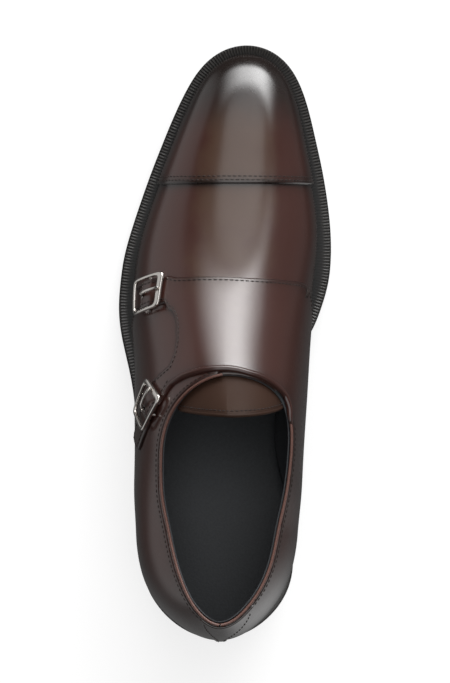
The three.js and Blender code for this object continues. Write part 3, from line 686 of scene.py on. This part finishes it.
def polished_calf(name, crown, shoulder, dark, roughness=0.4, coat=1.0, shine=0.4):
    """Calf dyed by hand and redder on the shoulders, with painted light where it lies level, painted
    shade on the walls, and burnish with painted shade from the mesh.
    """
    made, into = material(name, Coat_Weight=coat, Coat_Roughness=0.16, Specular_IOR_Level=shine)
    colour = into["Base Color"]
    cloud = colour.noise(32.0, 2.0) * 0.6 + colour.noise(110.0) * 0.4 - 0.5
    level = colour.field("level") + cloud * 0.4
    # painted light: level tops take the lighter crown colour, partly dye and partly light from above
    dye_and_top_light = level.between(0.8, 0.98).mix(shoulder, crown)
    # painted shade: the walls darken as they turn away from the light
    wall = level.between(0.72, 0.1) * 0.7
    # the mesh's burnish value, which also carries painted shade along the welt and beside the cap
    burnt_and_shaded = colour.field("burnish_and_shade")
    shade = burnt_and_shaded + wall - burnt_and_shaded * wall + cloud * 0.6
    colour.take(shade.between(-0.05, 1.0).mix(dye_and_top_light, dark))
    polish = burnt_and_shaded * -0.14 + (roughness - 0.06)
    into["Roughness"].take(colour.noise(340.0, 2.0) * 0.12 + polish)
    pores = colour.noise(2600.0, 2.0, 0.7) * 0.5 + colour.noise(600.0) * 0.5
    into["Normal"].take(colour.bump(pores + colour.noise(36.0, 1.0) * 7.0, 0.00006))
    return made


calf = polished_calf("polished brown calf", rgb(70, 48, 35), rgb(59, 31, 25), rgb(27, 20, 18))


def vamp_field(sheet):
    rear, front = sheet["y"] - VAMP_REAR, CAP_LINE + CAP_LAP - sheet["y"]
    return least(rear, front, below_topline(sheet))


vamp_sheet = cut(vamp_field, 1.2, VAMP_REAR - 2, CAP_LINE + CAP_LAP + 2)
vamp = panel("vamp", vamp_sheet, -VAMP_THICKNESS, VAMP_THICKNESS, "upper_leather", calf)
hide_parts("upper")

lining_calf = mottled("black lining calf", 900.0, (44, 46, 48), (65, 67, 70), (0.2, 0.5),
                      0.00008, Specular_IOR_Level=0.3)
panel("lining", cut(below_topline, 2.4, joined=True), LINING_LIFT, LINING_THICKNESS, "sock_leather",
      lining_calf)

# ------ toe cap
# The cap is a second piece of the same calf over the end of the vamp, cut straight across and
# sewn down with two rows of thread, and burnished nearly black at the tip.

OVERLAY_GAP, CAP_THICKNESS = 0.02, 1.35
cap_sheet = cut(lambda sheet: sheet["y"] - CAP_LINE, 1.2, CAP_LINE - 7)
cap = panel("toe_cap_leather", cap_sheet, OVERLAY_GAP, CAP_THICKNESS, "upper_leather", calf, dark=0.45)
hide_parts("toe_cap")

# ------ quarters and straps
# The outer quarter carries both buckles. The inner quarter crosses the instep over it as a
# flap that ends in two straps, which pass over the buckles' centre bars. Both are waxed calf
# with cut and inked edges, and a narrow strip covers the seam at the heel.

BACK_SEAM, SEAM_GAP = -2.8, 0.12
OVERLAY, FLAP_LIFT = 1.4, 1.6
STRAP_WIDTH, STRAP_REACH, TIP_ROUND = 14.4, {"front": 19, "rear": 25}, 4
STRAP_LIFT, STRAP_RISE = 2.0, 1.8
PRONG_HOLE, HOLE_RADIUS = 2.6, 1.1
STRIP_FOOT, STRIP_TOP, STRIP_LOW, STRIP_AHEAD, STRIP_THICKNESS = 3.5, 16, 40, 42, 0.7


def on_last(girth, y, lift=0.0):
    """Places on the last at pattern points, lifted off it, and the normals there."""
    girth, y, lift = matched(np.atleast_1d(girth), y, lift)
    shape, girth, y, lift = girth.shape, girth.ravel(), y.ravel(), lift.ravel()
    steps = np.linspace(0, 1, 160)
    side = np.where(girth < 0, -1, 1)
    lengths = run_length(last_point(y[:, None], side[:, None] * steps))
    turn = side * np.array([np.interp(abs(g), row, steps) for g, row in zip(girth, lengths)])
    step = np.where(turn > 0, -1e-3, 1e-3)
    here = last_point(y, turn)
    across = (last_point(y, turn + step) - here) / step[:, None]
    normal = unit(np.cross(across, last_point(y + 1e-3, turn) - here))
    return (here + normal * lift[:, None]).reshape(*shape, 3), normal.reshape(*shape, 3)


class Strap:
    """True lengths along a strap (s) and across it (b), from its buckle's place in the pattern."""

    def __init__(self, girth, y, aim):
        self.origin = np.array([girth, y])
        ends, _ = on_last([girth - 0.5, girth + 0.5, girth, girth], [y, y, y - 0.5, y + 0.5])
        real = np.stack([ends[1] - ends[0], ends[3] - ends[2]])
        along = np.array(aim) / np.linalg.norm(aim @ real)
        run = along @ real
        across = np.array([real[1] @ run, -real[0] @ run])
        self.axes = np.stack([along, across / np.linalg.norm(across @ real)])
        self.back = np.linalg.inv(self.axes)

    def to_pattern(self, s, b):
        place = np.stack(matched(s, b), -1) @ self.axes + self.origin
        return place[..., 0], place[..., 1]

    def from_pattern(self, girth, y):
        place = (np.stack([girth, y], -1) - self.origin) @ self.back
        return place[..., 0], place[..., 1]

    def end(self, root, reach):
        """The strap's outline from its front edge round the tip to the rear edge."""
        half = STRAP_WIDTH / 2
        turn = np.linspace(0, math.pi, 13)
        s = reach - TIP_ROUND + TIP_ROUND * np.sin(turn) ** 0.8
        b = half * np.sign(np.cos(turn)) * np.abs(np.cos(turn)) ** 0.6
        s, b = np.concatenate([[root], s, [root]]), np.concatenate([[half], b, [-half]])
        return np.stack(self.to_pattern(s, b), -1).tolist()


straps = {"front": Strap(-45, 176, (-0.98, -0.18)), "rear": Strap(-52.5, 120, (-0.73, -0.68))}

INNER_QUARTER = [
    [130, 157], [84, 161], [72, 168], [59, 179], [52, 181.6], [45, 182.8], [30, 183.7], [15, 184.3],
    [1, 184.6], [-14, 184.4], [-26, 184.2], *straps["front"].end(-12, STRAP_REACH["front"]),
    [-31, 168.4], [-28.4, 167], [-26.6, 164], [-25.8, 160], [-26.2, 152], [-28, 146], [-32, 140],
    *straps["rear"].end(-10, STRAP_REACH["rear"]),
    [-32, 131], [-22, 135], [-9, 137.8], [0, 138.4], [6, 137.8], [18, 134.8], [27, 131], [37, 125.5],
    [42, 119], [43, 108], [20, 90], [0, 60], [0, -20], [130, -20],
]
OUTER_QUARTER = [
    [-130, 156], [-90, 159.5], [-76, 163], [-67, 168], [-58, 175], [-49, 180], [-40, 181],
    [-32, 178], [-26, 170], [-22, 158], [-17, 148], [-8, 142], [3, 142], [5, 136], [5, 120],
    [0, 60], [0, -20], [-130, -20],
]


def inside(outline, sheet):
    """Distance into an outline of [girth, y] points, negative outside it."""
    girth, y = sheet["girth"], sheet["y"]
    nearest, odd = np.full(girth.shape, 1e9), np.zeros(girth.shape, bool)
    for (ax, ay), (bx, by) in pairs(outline):
        length = (bx - ax) ** 2 + (by - ay) ** 2
        t = np.clip(((girth - ax) * (bx - ax) + (y - ay) * (by - ay)) / length, 0, 1)
        nearest = np.minimum(nearest, np.hypot(girth - ax - t * (bx - ax), y - ay - t * (by - ay)))
        if ay != by:
            odd ^= ((ay > y) != (by > y)) & (girth < ax + (y - ay) / (by - ay) * (bx - ax))
    return np.where(odd, nearest, -nearest)


def strap_rise(sheet):
    """How far the straps rise over the centre bars."""
    rises = []
    for strap in straps.values():
        s, b = strap.from_pattern(sheet["girth"], sheet["y"])
        rises.append(smoothstep(STRAP_WIDTH, STRAP_WIDTH / 2, abs(b)) * smoothstep(7.2, 2.6, abs(s)))
    return STRAP_RISE * np.maximum(*rises)


def inner_lift(sheet):
    """Height of the inner quarter, which climbs onto the outer one as it crosses the instep."""
    return OVERLAY_GAP + FLAP_LIFT * smoothstep(18, -16, sheet["girth"]) + strap_rise(sheet)


def inner_field(sheet):
    flap = np.maximum(below_topline(sheet), sheet["y"] - 112)
    seam = np.maximum(sheet["x"] - BACK_SEAM - SEAM_GAP, sheet["y"] - LAST_HEEL[0])
    return least(inside(INNER_QUARTER, sheet), flap, seam)


def inner_cut_field(sheet):
    """The quarter less the hole in each strap that its buckle's prong goes through."""
    keep = inner_field(sheet)
    for strap in straps.values():
        s, b = strap.from_pattern(sheet["girth"], sheet["y"])
        keep = np.minimum(keep, np.hypot(s - PRONG_HOLE, b) - HOLE_RADIUS)
    return keep


def outer_field(sheet):
    seam = BACK_SEAM - SEAM_GAP - sheet["x"]
    return least(inside(OUTER_QUARTER, sheet), below_topline(sheet), seam)


outer_sheet, inner_sheet = cut(outer_field, 1.2, 0, 190), cut(inner_cut_field, 0.8, 0, 196)
outer = panel("outer_quarter", outer_sheet, OVERLAY_GAP, OVERLAY, "upper_leather", calf)
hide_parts("lateral_quarter")
inner = panel("inner_quarter_and_straps", inner_sheet, inner_lift, OVERLAY, "upper_leather", calf)
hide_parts("medial_quarter")


def heel_strip_field(sheet):
    x, y, z = sheet["at"].T
    wide = STRIP_FOOT + (STRIP_TOP - STRIP_FOOT) * smoothstep(58, 88, z)
    offset = x - BACK_SEAM
    side = least(wide - offset, offset + 0.5 * wide)
    return least(side, below_topline(sheet), STRIP_AHEAD - y, z - STRIP_LOW)


panel("heel_strip", cut(heel_strip_field, 0.8, 0, STRIP_AHEAD, joined=True), OVERLAY + OVERLAY_GAP,
      STRIP_THICKNESS, "upper_leather", calf, edge=0.5)

# ------ tongue
# The tongue is softer, unpolished brown calf sewn under the vamp. It lies under the flap,
# and its upper edge is turned over and stands free in front of the foot.

TONGUE_EDGE, TONGUE_ROOT, TONGUE_OUTER, TONGUE_INNER = 116, 171, 34, 41
TONGUE_LIFT, TONGUE_THICKNESS = -3.7, 1.6
tongue_calf = polished_calf("soft brown calf", rgb(58, 40, 30), rgb(54, 36, 27), rgb(34, 24, 20),
                            roughness=0.6, coat=0.0, shine=0.15)


def tongue_field(sheet):
    girth, y = sheet["girth"], sheet["y"]
    edge = y - TONGUE_EDGE - 2 * (girth / 31) ** 2
    return least(TONGUE_INNER - girth, TONGUE_OUTER + girth, edge, TONGUE_ROOT - y)


tongue = panel("tongue_leather", cut(tongue_field, 1.5, TONGUE_EDGE - 4, TONGUE_ROOT + 2), TONGUE_LIFT,
               TONGUE_THICKNESS, "tongue_leather", tongue_calf)
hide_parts("tongue")

# ------ piping and rolled edges
# The collar is bound with a thin strip of lighter calf. Along the back of the flap the leather
# is rolled over a cord, which makes the edge thick and round, and the tongue's edge over a
# thinner one.

PIPING_RADIUS, PIPING_LIFT, PIPING_OUT = 0.75, 0.3, 0.35
ROLL_THIN, ROLL_THICK, ROLL_LIFT, TONGUE_ROLL = 0.6, 1.7, 0.4, 1.0
COLLAR_LOW = 70  # an edge above this height is at the collar, not at the sole


def edge_line(field, level, select, cell=1.2, start=0, end=LAST_LENGTH):
    """The longest run of a field's level line where select is true, as points in order."""
    sheet = cut(field, cell, start, end, level=level)
    on_line = np.abs(sheet["keep"] - level) < 2 * SLIVER
    after = {a: b for a, b in sheet.border() if on_line[a] and on_line[b]}
    wanted = select(sheet)
    best, used = [], set()
    befores = {b for a, b in after.items() if wanted[a]}
    for first in [a for a in after if a not in befores or not wanted[a]] + list(after):
        run = []
        while first in after and first not in used and wanted[first]:
            used.add(first)
            run.append(first)
            first = after[first]
        best = max(best, run, key=len)
    return Sheet(sheet.values[best])


def resample(line, pitch):
    """The same line with points at an even pitch."""
    length = run_length(line["at"])
    places = np.arange(0, length[-1], pitch)
    return Sheet(np.stack([np.interp(places, length, column) for column in line.values.T], -1))


def tubes(at, normal, radius, sides):
    """Closed tubes along rows of points, drawn round the points' normals."""
    tangent = unit(np.gradient(at, axis=1))
    side = unit(np.cross(tangent, normal))
    normal = np.cross(side, tangent)
    angle = np.linspace(0, 2 * math.pi, sides, endpoint=False)[:, None]
    radius = np.broadcast_to(radius, at.shape[:2])[..., None, None]
    around = np.cos(angle) * normal[:, :, None] + np.sin(angle) * side[:, :, None]
    points = at[:, :, None] + radius * around
    index = numbered(points)
    turned = np.roll(index, -1, 2)
    faces = np.stack([index[:, :-1], turned[:, :-1], turned[:, 1:], index[:, 1:]], -1).reshape(-1, 4)
    ends = [index[:, 0, ::-1], index[:, -1]]
    return points.reshape(-1, 3), faces.tolist() + np.concatenate(ends).tolist()


binding = mottled("light brown binding", 700.0, (80, 51, 43), (104, 70, 60), relief=0.00005,
                  Roughness=0.45, Coat_Weight=0.2)


def piping(name, line, lift, radius, look):
    """A smooth cord along a line, at a lift from the last."""
    smooth = resample(line, 1.0).values
    for _ in range(6):
        smooth[1:-1] = (smooth[:-2] + 2 * smooth[1:-1] + smooth[2:]) / 4
    line = Sheet(smooth)
    at = line["at"] + line["normal"] * per_point(lift, line)[:, None]
    points, faces = tubes(at[None], line["normal"][None], per_point(radius, line)[None], 12)
    # a fixed burnish with painted shade, and a fixed level for the calf's painted light
    fields = {"burnish_and_shade": np.full(len(points), 0.3), "level": np.full(len(points), 0.7)}
    make(name, points, faces, "upper_leather", look, fields)


def at_collar(sheet):
    return sheet["z"] > COLLAR_LOW


for name, outline, side, end in [("outer", OUTER_QUARTER, -1, 136), ("inner", INNER_QUARTER, 1, 112)]:
    line = edge_line(lambda s: least(inside(outline, s), below_topline(s)), -PIPING_OUT,
                     lambda s: at_collar(s) & (s["y"] < end) & (s["girth"] * side > 1))
    piping(f"{name}_collar_piping", line, PIPING_LIFT, PIPING_RADIUS, binding)


def roll_radius(sheet):
    """The flap's roll, which thins out along the rear strap and down the inner collar."""
    along = smoothstep(106, 120, sheet["y"]) * smoothstep(-46, -26, sheet["girth"])
    return ROLL_THIN + (ROLL_THICK - ROLL_THIN) * along


flap_line = edge_line(inner_field, 0.2, lambda s: at_collar(s) & (s["y"] > 106) & (s["y"] < 139.5)
                      & (s["girth"] > -44), cell=0.8)
piping("flap_rolled_edge", flap_line, lambda s: inner_lift(s) + ROLL_LIFT, roll_radius, calf)


def tongue_row(level):
    """A line along the tongue's upper edge, a little inside it."""
    return edge_line(tongue_field, level, lambda s: s["y"] < TONGUE_EDGE + 8)


piping("tongue_rolled_edge", tongue_row(0.5), TONGUE_LIFT + TONGUE_THICKNESS / 2, TONGUE_ROLL,
       tongue_calf)

# ------ stitching
# Seams are sewn with waxed brown thread, about four stitches to the centimetre, that sinks
# into the leather between the holes. A bar of close stitches holds the flap's inner corner.

thread = mottled("waxed brown thread", 1500.0, (26, 19, 17), (44, 32, 28), (0.2, 0.45),
                 Specular_IOR_Level=0.4)

STITCH_PITCH, STITCH_LENGTH, THREAD_RADIUS = 2.6, 2.0, 0.24
STITCH_ARCH = [-0.25, 0.05, 0.14, 0.05, -0.25]
CAP_ROWS, ROW_INSET, STRIP_INSET = (1.7, 3.6), 1.9, 1.3


def join(parts):
    """Several meshes as one list of points and faces."""
    starts = np.cumsum([0] + [len(points) for points, _ in parts]).tolist()
    faces = [[v + start for v in face] for start, (_, part) in zip(starts, parts) for face in part]
    return np.concatenate([points for points, _ in parts]), faces


def stitches(name, lines):
    """Rows of stitches along lines given as (sheet, lift), with ten points to a millimetre."""
    rows = []
    for line, lift in lines:
        line = resample(line, 0.1)
        steps = np.linspace(0, STITCH_LENGTH * 10, len(STITCH_ARCH)).astype(int)
        starts = np.arange(0, len(line.values) - steps[-1] - 1, int(STITCH_PITCH * 10))
        picked = Sheet(line.values[(starts[:, None] + steps).ravel()])
        raised = per_point(lift, picked) + np.tile(STITCH_ARCH, len(starts))
        at = (picked["at"] + picked["normal"] * raised[:, None]).reshape(len(starts), -1, 3)
        rows.append(tubes(at, picked["normal"].reshape(at.shape), THREAD_RADIUS, 6))
    make(name, *join(rows), "upper_leather", thread)


def above_welt(sheet):
    return sheet["z"] > feather(sheet["y"]) + 7


def level_line(y):
    """A straight row of points across the last."""
    girth = np.linspace(-64, 62, 253)
    at, normal = on_last(girth, y)
    others = np.stack([girth, y + 0 * girth, 0 * girth, 0 * girth], -1)
    line = Sheet(np.concatenate([at, normal, others], -1))
    return Sheet(line.values[above_welt(line)])


cap_rows = [(level_line(CAP_LINE + inset), OVERLAY_GAP + CAP_THICKNESS) for inset in CAP_ROWS]
stitches("cap_stitching", cap_rows)


def ahead_of_roll(sheet):
    """Where the flap's back row of stitches shows beside the rolled edge."""
    girth = sheet["girth"]
    return (girth < -31) | (sheet["y"] > 137.5 + 0.5 * np.clip(girth + 31, 0, 20))


inner_row = edge_line(inner_field, ROW_INSET, lambda s: above_welt(s) & ahead_of_roll(s), 1.0)
collar_row = edge_line(inner_field, ROW_INSET, lambda s: at_collar(s) & (s["y"] < 110))
outer_row = edge_line(outer_field, ROW_INSET, above_welt)
stitches("quarter_stitching", [(inner_row, lambda s: inner_lift(s) + OVERLAY), (collar_row, OVERLAY),
                               (outer_row, OVERLAY)])
stitches("tongue_stitching", [(tongue_row(2.6), TONGUE_LIFT + TONGUE_THICKNESS)])
strip_rows = []
for side in (-1, 1):
    row = edge_line(heel_strip_field, STRIP_INSET, lambda s: (s["z"] < 86)
                    & ((s["x"] - BACK_SEAM) * side > 0), 0.8, 0, STRIP_AHEAD)
    strip_rows.append((row, OVERLAY + STRIP_THICKNESS))
stitches("heel_strip_stitching", strip_rows)

TACK_GIRTHS, TACK_ENDS, TACK_THREAD = np.linspace(52.6, 55.6, 7), (175.0, 179.4), 0.3
TACK_ARCH = np.array([-0.1, 0.3, 0.36, 0.3, -0.1])
ends, normals = on_last(TACK_GIRTHS[:, None], TACK_ENDS)
up, part = normals[:, :1], np.linspace(0, 1, len(TACK_ARCH))[:, None]
tacks = ends[:, :1] * (1 - part) + ends[:, 1:] * part + up * (OVERLAY + TACK_ARCH[:, None])
points, faces = tubes(tacks, np.repeat(up, len(TACK_ARCH), 1), TACK_THREAD, 6)
make("flap_corner_bartack", points, faces, "upper_leather", thread)

# ------ insole and sock
# The insole is a board of firm leather that the upper is lasted over. A black calf sock is
# glued on top of it, and its edges are skived thin where they meet the lining.


def feather_edge(t, side):
    return last_point(station(t, *LAST_ENDS), side)[..., :2]


BOARD, SOCK, INSET, SKIVED = 1.7, 0.7, 1.7, 0.9
insole_layers = [(INSET, feather), (INSET, higher(feather, BOARD)),
                 (INSET + SKIVED, higher(feather, BOARD + SOCK))]
points, faces = slab(within(feather_edge), insole_layers, rows=120, across=20)
insole = make("insole_and_sock", points, faces, "sock_leather", lining_calf)
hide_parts("insole")

# ------ welt
# A strip of black-stained leather is sewn round the forefoot from waist to waist. A hot wheel
# presses even ridges across its top, and its edge is rounded off flush with the sole.

RIDGE_PITCH, RIDGE_DEPTH = 1.6, 0.4
welt_leather, into = material("wheeled welt leather", Specular_IOR_Level=0.35)
# painted highlight: the ridge crests are lighter, with some random tone from noise
ridge_highlight_and_tone = into["Base Color"].field("ridge") * 0.8 + into["Base Color"].noise(900.0) * 0.2
into["Base Color"].take(ridge_highlight_and_tone.mix(rgb(12, 11, 11), rgb(50, 47, 44)))
into["Roughness"].take(ridge_highlight_and_tone * -0.1 + 0.4)

one_side = np.linspace(0, 1, 4001)
one_side = one_side[sole_edge(one_side, 1)[:, 1] >= WELT_START]
t, side = np.array([(t, -1) for t in one_side] + [(t, 1) for t in one_side[-2::-1]]).T
length = run_length(sole_edge(t, side))
places = np.arange(0, length[-1], RIDGE_PITCH / 6)
pick = np.clip(np.searchsorted(length, places), 0, len(t) - 1)
t, side, wave = t[pick], side[pick], 0.5 + 0.5 * np.cos(2 * math.pi * places / RIDGE_PITCH)
# (inset, drop below the welt's top, how much of the ridge shows)
WELT_SECTION = [(9, 3, 0), (0.5, 3, 0), (0.1, 2.7, 0), (0, 2, 0), (0, 1.0, 0), (0.15, 0.5, 0.1),
                (0.6, 0.1, 0.7), (1.5, 0, 1), (3.0, 0, 1), (3.9, 0, 0.6), (4.6, 0.15, 0), (9, 0.15, 0)]
rings, ridge = [], []
for inset, drop, share in WELT_SECTION:
    plan = inward(sole_edge, t, side, inset)
    top = feather(plan[:, 1]) - GLUE_LINE - drop - share * RIDGE_DEPTH * (1 - wave)
    rings.append(np.concatenate([plan, top[:, None]], -1))
    ridge.append(wave * share)
points = np.stack(rings, 1)
index = numbered(points)
turned = np.roll(index, -1, 1)
faces = np.stack([index[:-1], index[1:], turned[1:], turned[:-1]], -1).reshape(-1, 4).tolist()
faces += [index[0].tolist(), index[-1, ::-1].tolist()]
fields = {"ridge": np.stack(ridge, 1).ravel()}
welt = make("wheeled_welt", points.reshape(-1, 3), faces, "welt_leather", welt_leather, fields, 40)
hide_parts("welt")

# ------ buckles
# Each buckle is a cast steel frame with a broad near bar and thinner sides, polished and
# plated bright. A centre bar behind the strap holds the prong, whose tip lies on the near bar.

LENGTH, WIDTH, NEAR_BAR, FAR_BAR, SIDE_BAR = 21.6, 18.6, 3, 1.8, 1.4
FRAME_LIFT, FRAME_TOP, SQUARENESS = 4.1, 5.8, 8
BAR_RADIUS, LUG_RADIUS = 0.75, 0.7
steel = mottled("polished buckle steel", 260.0, (245, 240, 235), (232, 226, 220), (0.12, 0.12),
                Metallic=1.0)

# (part of the way from the outer edge to the inner one, height as part of the thickness)
FRAME_SECTION = [(0.1, 0), (0, 0.15), (0, 0.75), (0.08, 0.94), (0.22, 1.02), (0.5, 1.05), (0.78, 1.02),
                 (0.92, 0.94), (1, 0.75), (1, 0.15), (0.9, 0)]
# (along the strap from the centre bar, height above the last, radius), from the bar to the tip
PRONG = [(3.2, 4.0, 0.8), (2.6, 5.2, 0.85), (1.6, 6.2, 0.9), (0, 6.9, 0.9), (-3, 7.2, 0.85),
         (-6, 7.2, 0.8), (-8.6, 7.05, 0.75), (-10.0, 6.85, 0.6), (-10.5, 6.7, 0.35)]


def squared(value):
    return np.sign(value) * np.abs(value) ** (2 / SQUARENESS)


def buckle_frame(strap):
    """A rounded frame with a smaller hole, bent to the last under it."""
    even = np.arange(160) * math.pi / 80
    angle = even - 0.2 * np.sin(4 * even)
    c, d = squared(np.cos(angle)), squared(np.sin(angle))
    outside = np.stack([LENGTH / 2 * c, WIDTH / 2 * d], -1)
    middle, length = (NEAR_BAR - FAR_BAR) / 2, LENGTH - NEAR_BAR - FAR_BAR
    hole = np.stack([middle + length / 2 * c, (WIDTH / 2 - SIDE_BAR) * d], -1)
    rings = []
    for part, height in FRAME_SECTION:
        place = outside * (1 - part) + hole * part
        pattern = strap.to_pattern(place[:, 0], place[:, 1])
        rings.append(on_last(*pattern, FRAME_LIFT + (FRAME_TOP - FRAME_LIFT) * height)[0])
    points = np.stack(rings, 1)
    index = numbered(points)
    ahead, turned = np.roll(index, -1, 0), np.roll(index, -1, 1)
    faces = np.stack([index, ahead, np.roll(ahead, -1, 1), turned], -1).reshape(-1, 4)
    return points.reshape(-1, 3), faces.tolist()


def rod(strap, s, b, lift, radius, sides):
    """A round bar through places along the strap, across it and above the last."""
    s, b, lift = matched(s, b, lift)
    at, _ = on_last(*strap.to_pattern(s, b), lift)
    aside, _ = on_last(*strap.to_pattern(s + 1, b + 1), lift)
    return tubes(at[None], (aside - at)[None], radius, sides)


for place, strap in straps.items():
    half = (WIDTH - SIDE_BAR) / 2
    bar_rod = rod(strap, 0, np.linspace(-half, half, 9), STRAP_LIFT + BAR_RADIUS, BAR_RADIUS, 10)
    lug = np.linspace(STRAP_LIFT + 0.5, FRAME_LIFT + 0.8, 5)
    lugs = [rod(strap, 0, side * half, lug, LUG_RADIUS, 10) for side in (-1, 1)]
    points, faces = join([buckle_frame(strap), bar_rod, *lugs])
    buckle = make(f"buckle_frame_{place}", points, faces, "buckle_steel", steel, sharp=60)
    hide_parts(f"buckle_{place}")
    s, lift, radius = np.transpose(PRONG)
    points, faces = rod(strap, s, 0, lift, radius, 12)
    prong = make(f"buckle_prong_{place}", points, faces, "buckle_steel", steel)
    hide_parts(f"prong_{place}")

# ------ studio
# The shoe stands on a pale, plain floor. A soft panel of light hangs overhead, a tall window
# lights the toe, and paler walls fill in the sides. The camera looks straight down.

CAMERA_HEIGHT, FOCAL_LENGTH = 2.95, 300
bpy.ops.mesh.primitive_plane_add(size=12, location=(0, 0, cad_size[0][2]))
floor = bpy.context.object
floor.name = "studio_floor"
pale, into = material("pale floor", Roughness=0.9, Specular_IOR_Level=0.1, Emission_Strength=0.74)
into["Base Color"].take((0.35, 0.35, 0.35, 1.0))
floor.data.materials.append(pale)
floor.visible_glossy = False

world = bpy.data.worlds.new("studio")
world.use_nodes = True
into = world.node_tree.nodes["Background"].inputs
into["Color"].default_value = (1, 1, 1, 1)
sky = Wire(into["Strength"])
direction = sky.node("ShaderNodeTexCoord", output="Generated")
across, along, up = [sky.node("ShaderNodeSeparateXYZ", inputs={"Vector": direction}, output=name)
                     for name in "XYZ"]
overhead = across.math("ABSOLUTE", across - 0.1).between(0.56, 0.34) * up.between(0.64, 0.78)
window = across.between(-0.65, 0.35) * across.between(0.82, 0.38) * along.between(0.2, 0.6)
window = window * up.between(0.02, 0.2) * up.between(0.68, 0.5)
level = up.between(-0.6, -0.4) * up.between(0.42, 0.2)
sides = level * (across.between(-0.5, -0.8) * 0.45 + across.between(0.5, 0.8) * 0.12)
low = up.between(-0.6, -0.85) * 0.05
behind = along.between(-0.05, -0.4) * up.between(0.1, -0.2) * (across.between(0.0, 0.5) * 0.55 + 0.07)
sky.take(overhead * 1.25 + window * 10.0 + sides + low + behind + 0.03)
scene = bpy.context.scene
scene.world = world

lens = bpy.data.cameras.new("camera")
lens.lens = FOCAL_LENGTH
camera = bpy.data.objects.new("camera", lens)
camera.location = (0.0, 0.0, CAMERA_HEIGHT)
scene.collection.objects.link(camera)
bpy.context.scene.camera = camera
scene.view_settings.view_transform = "Standard"
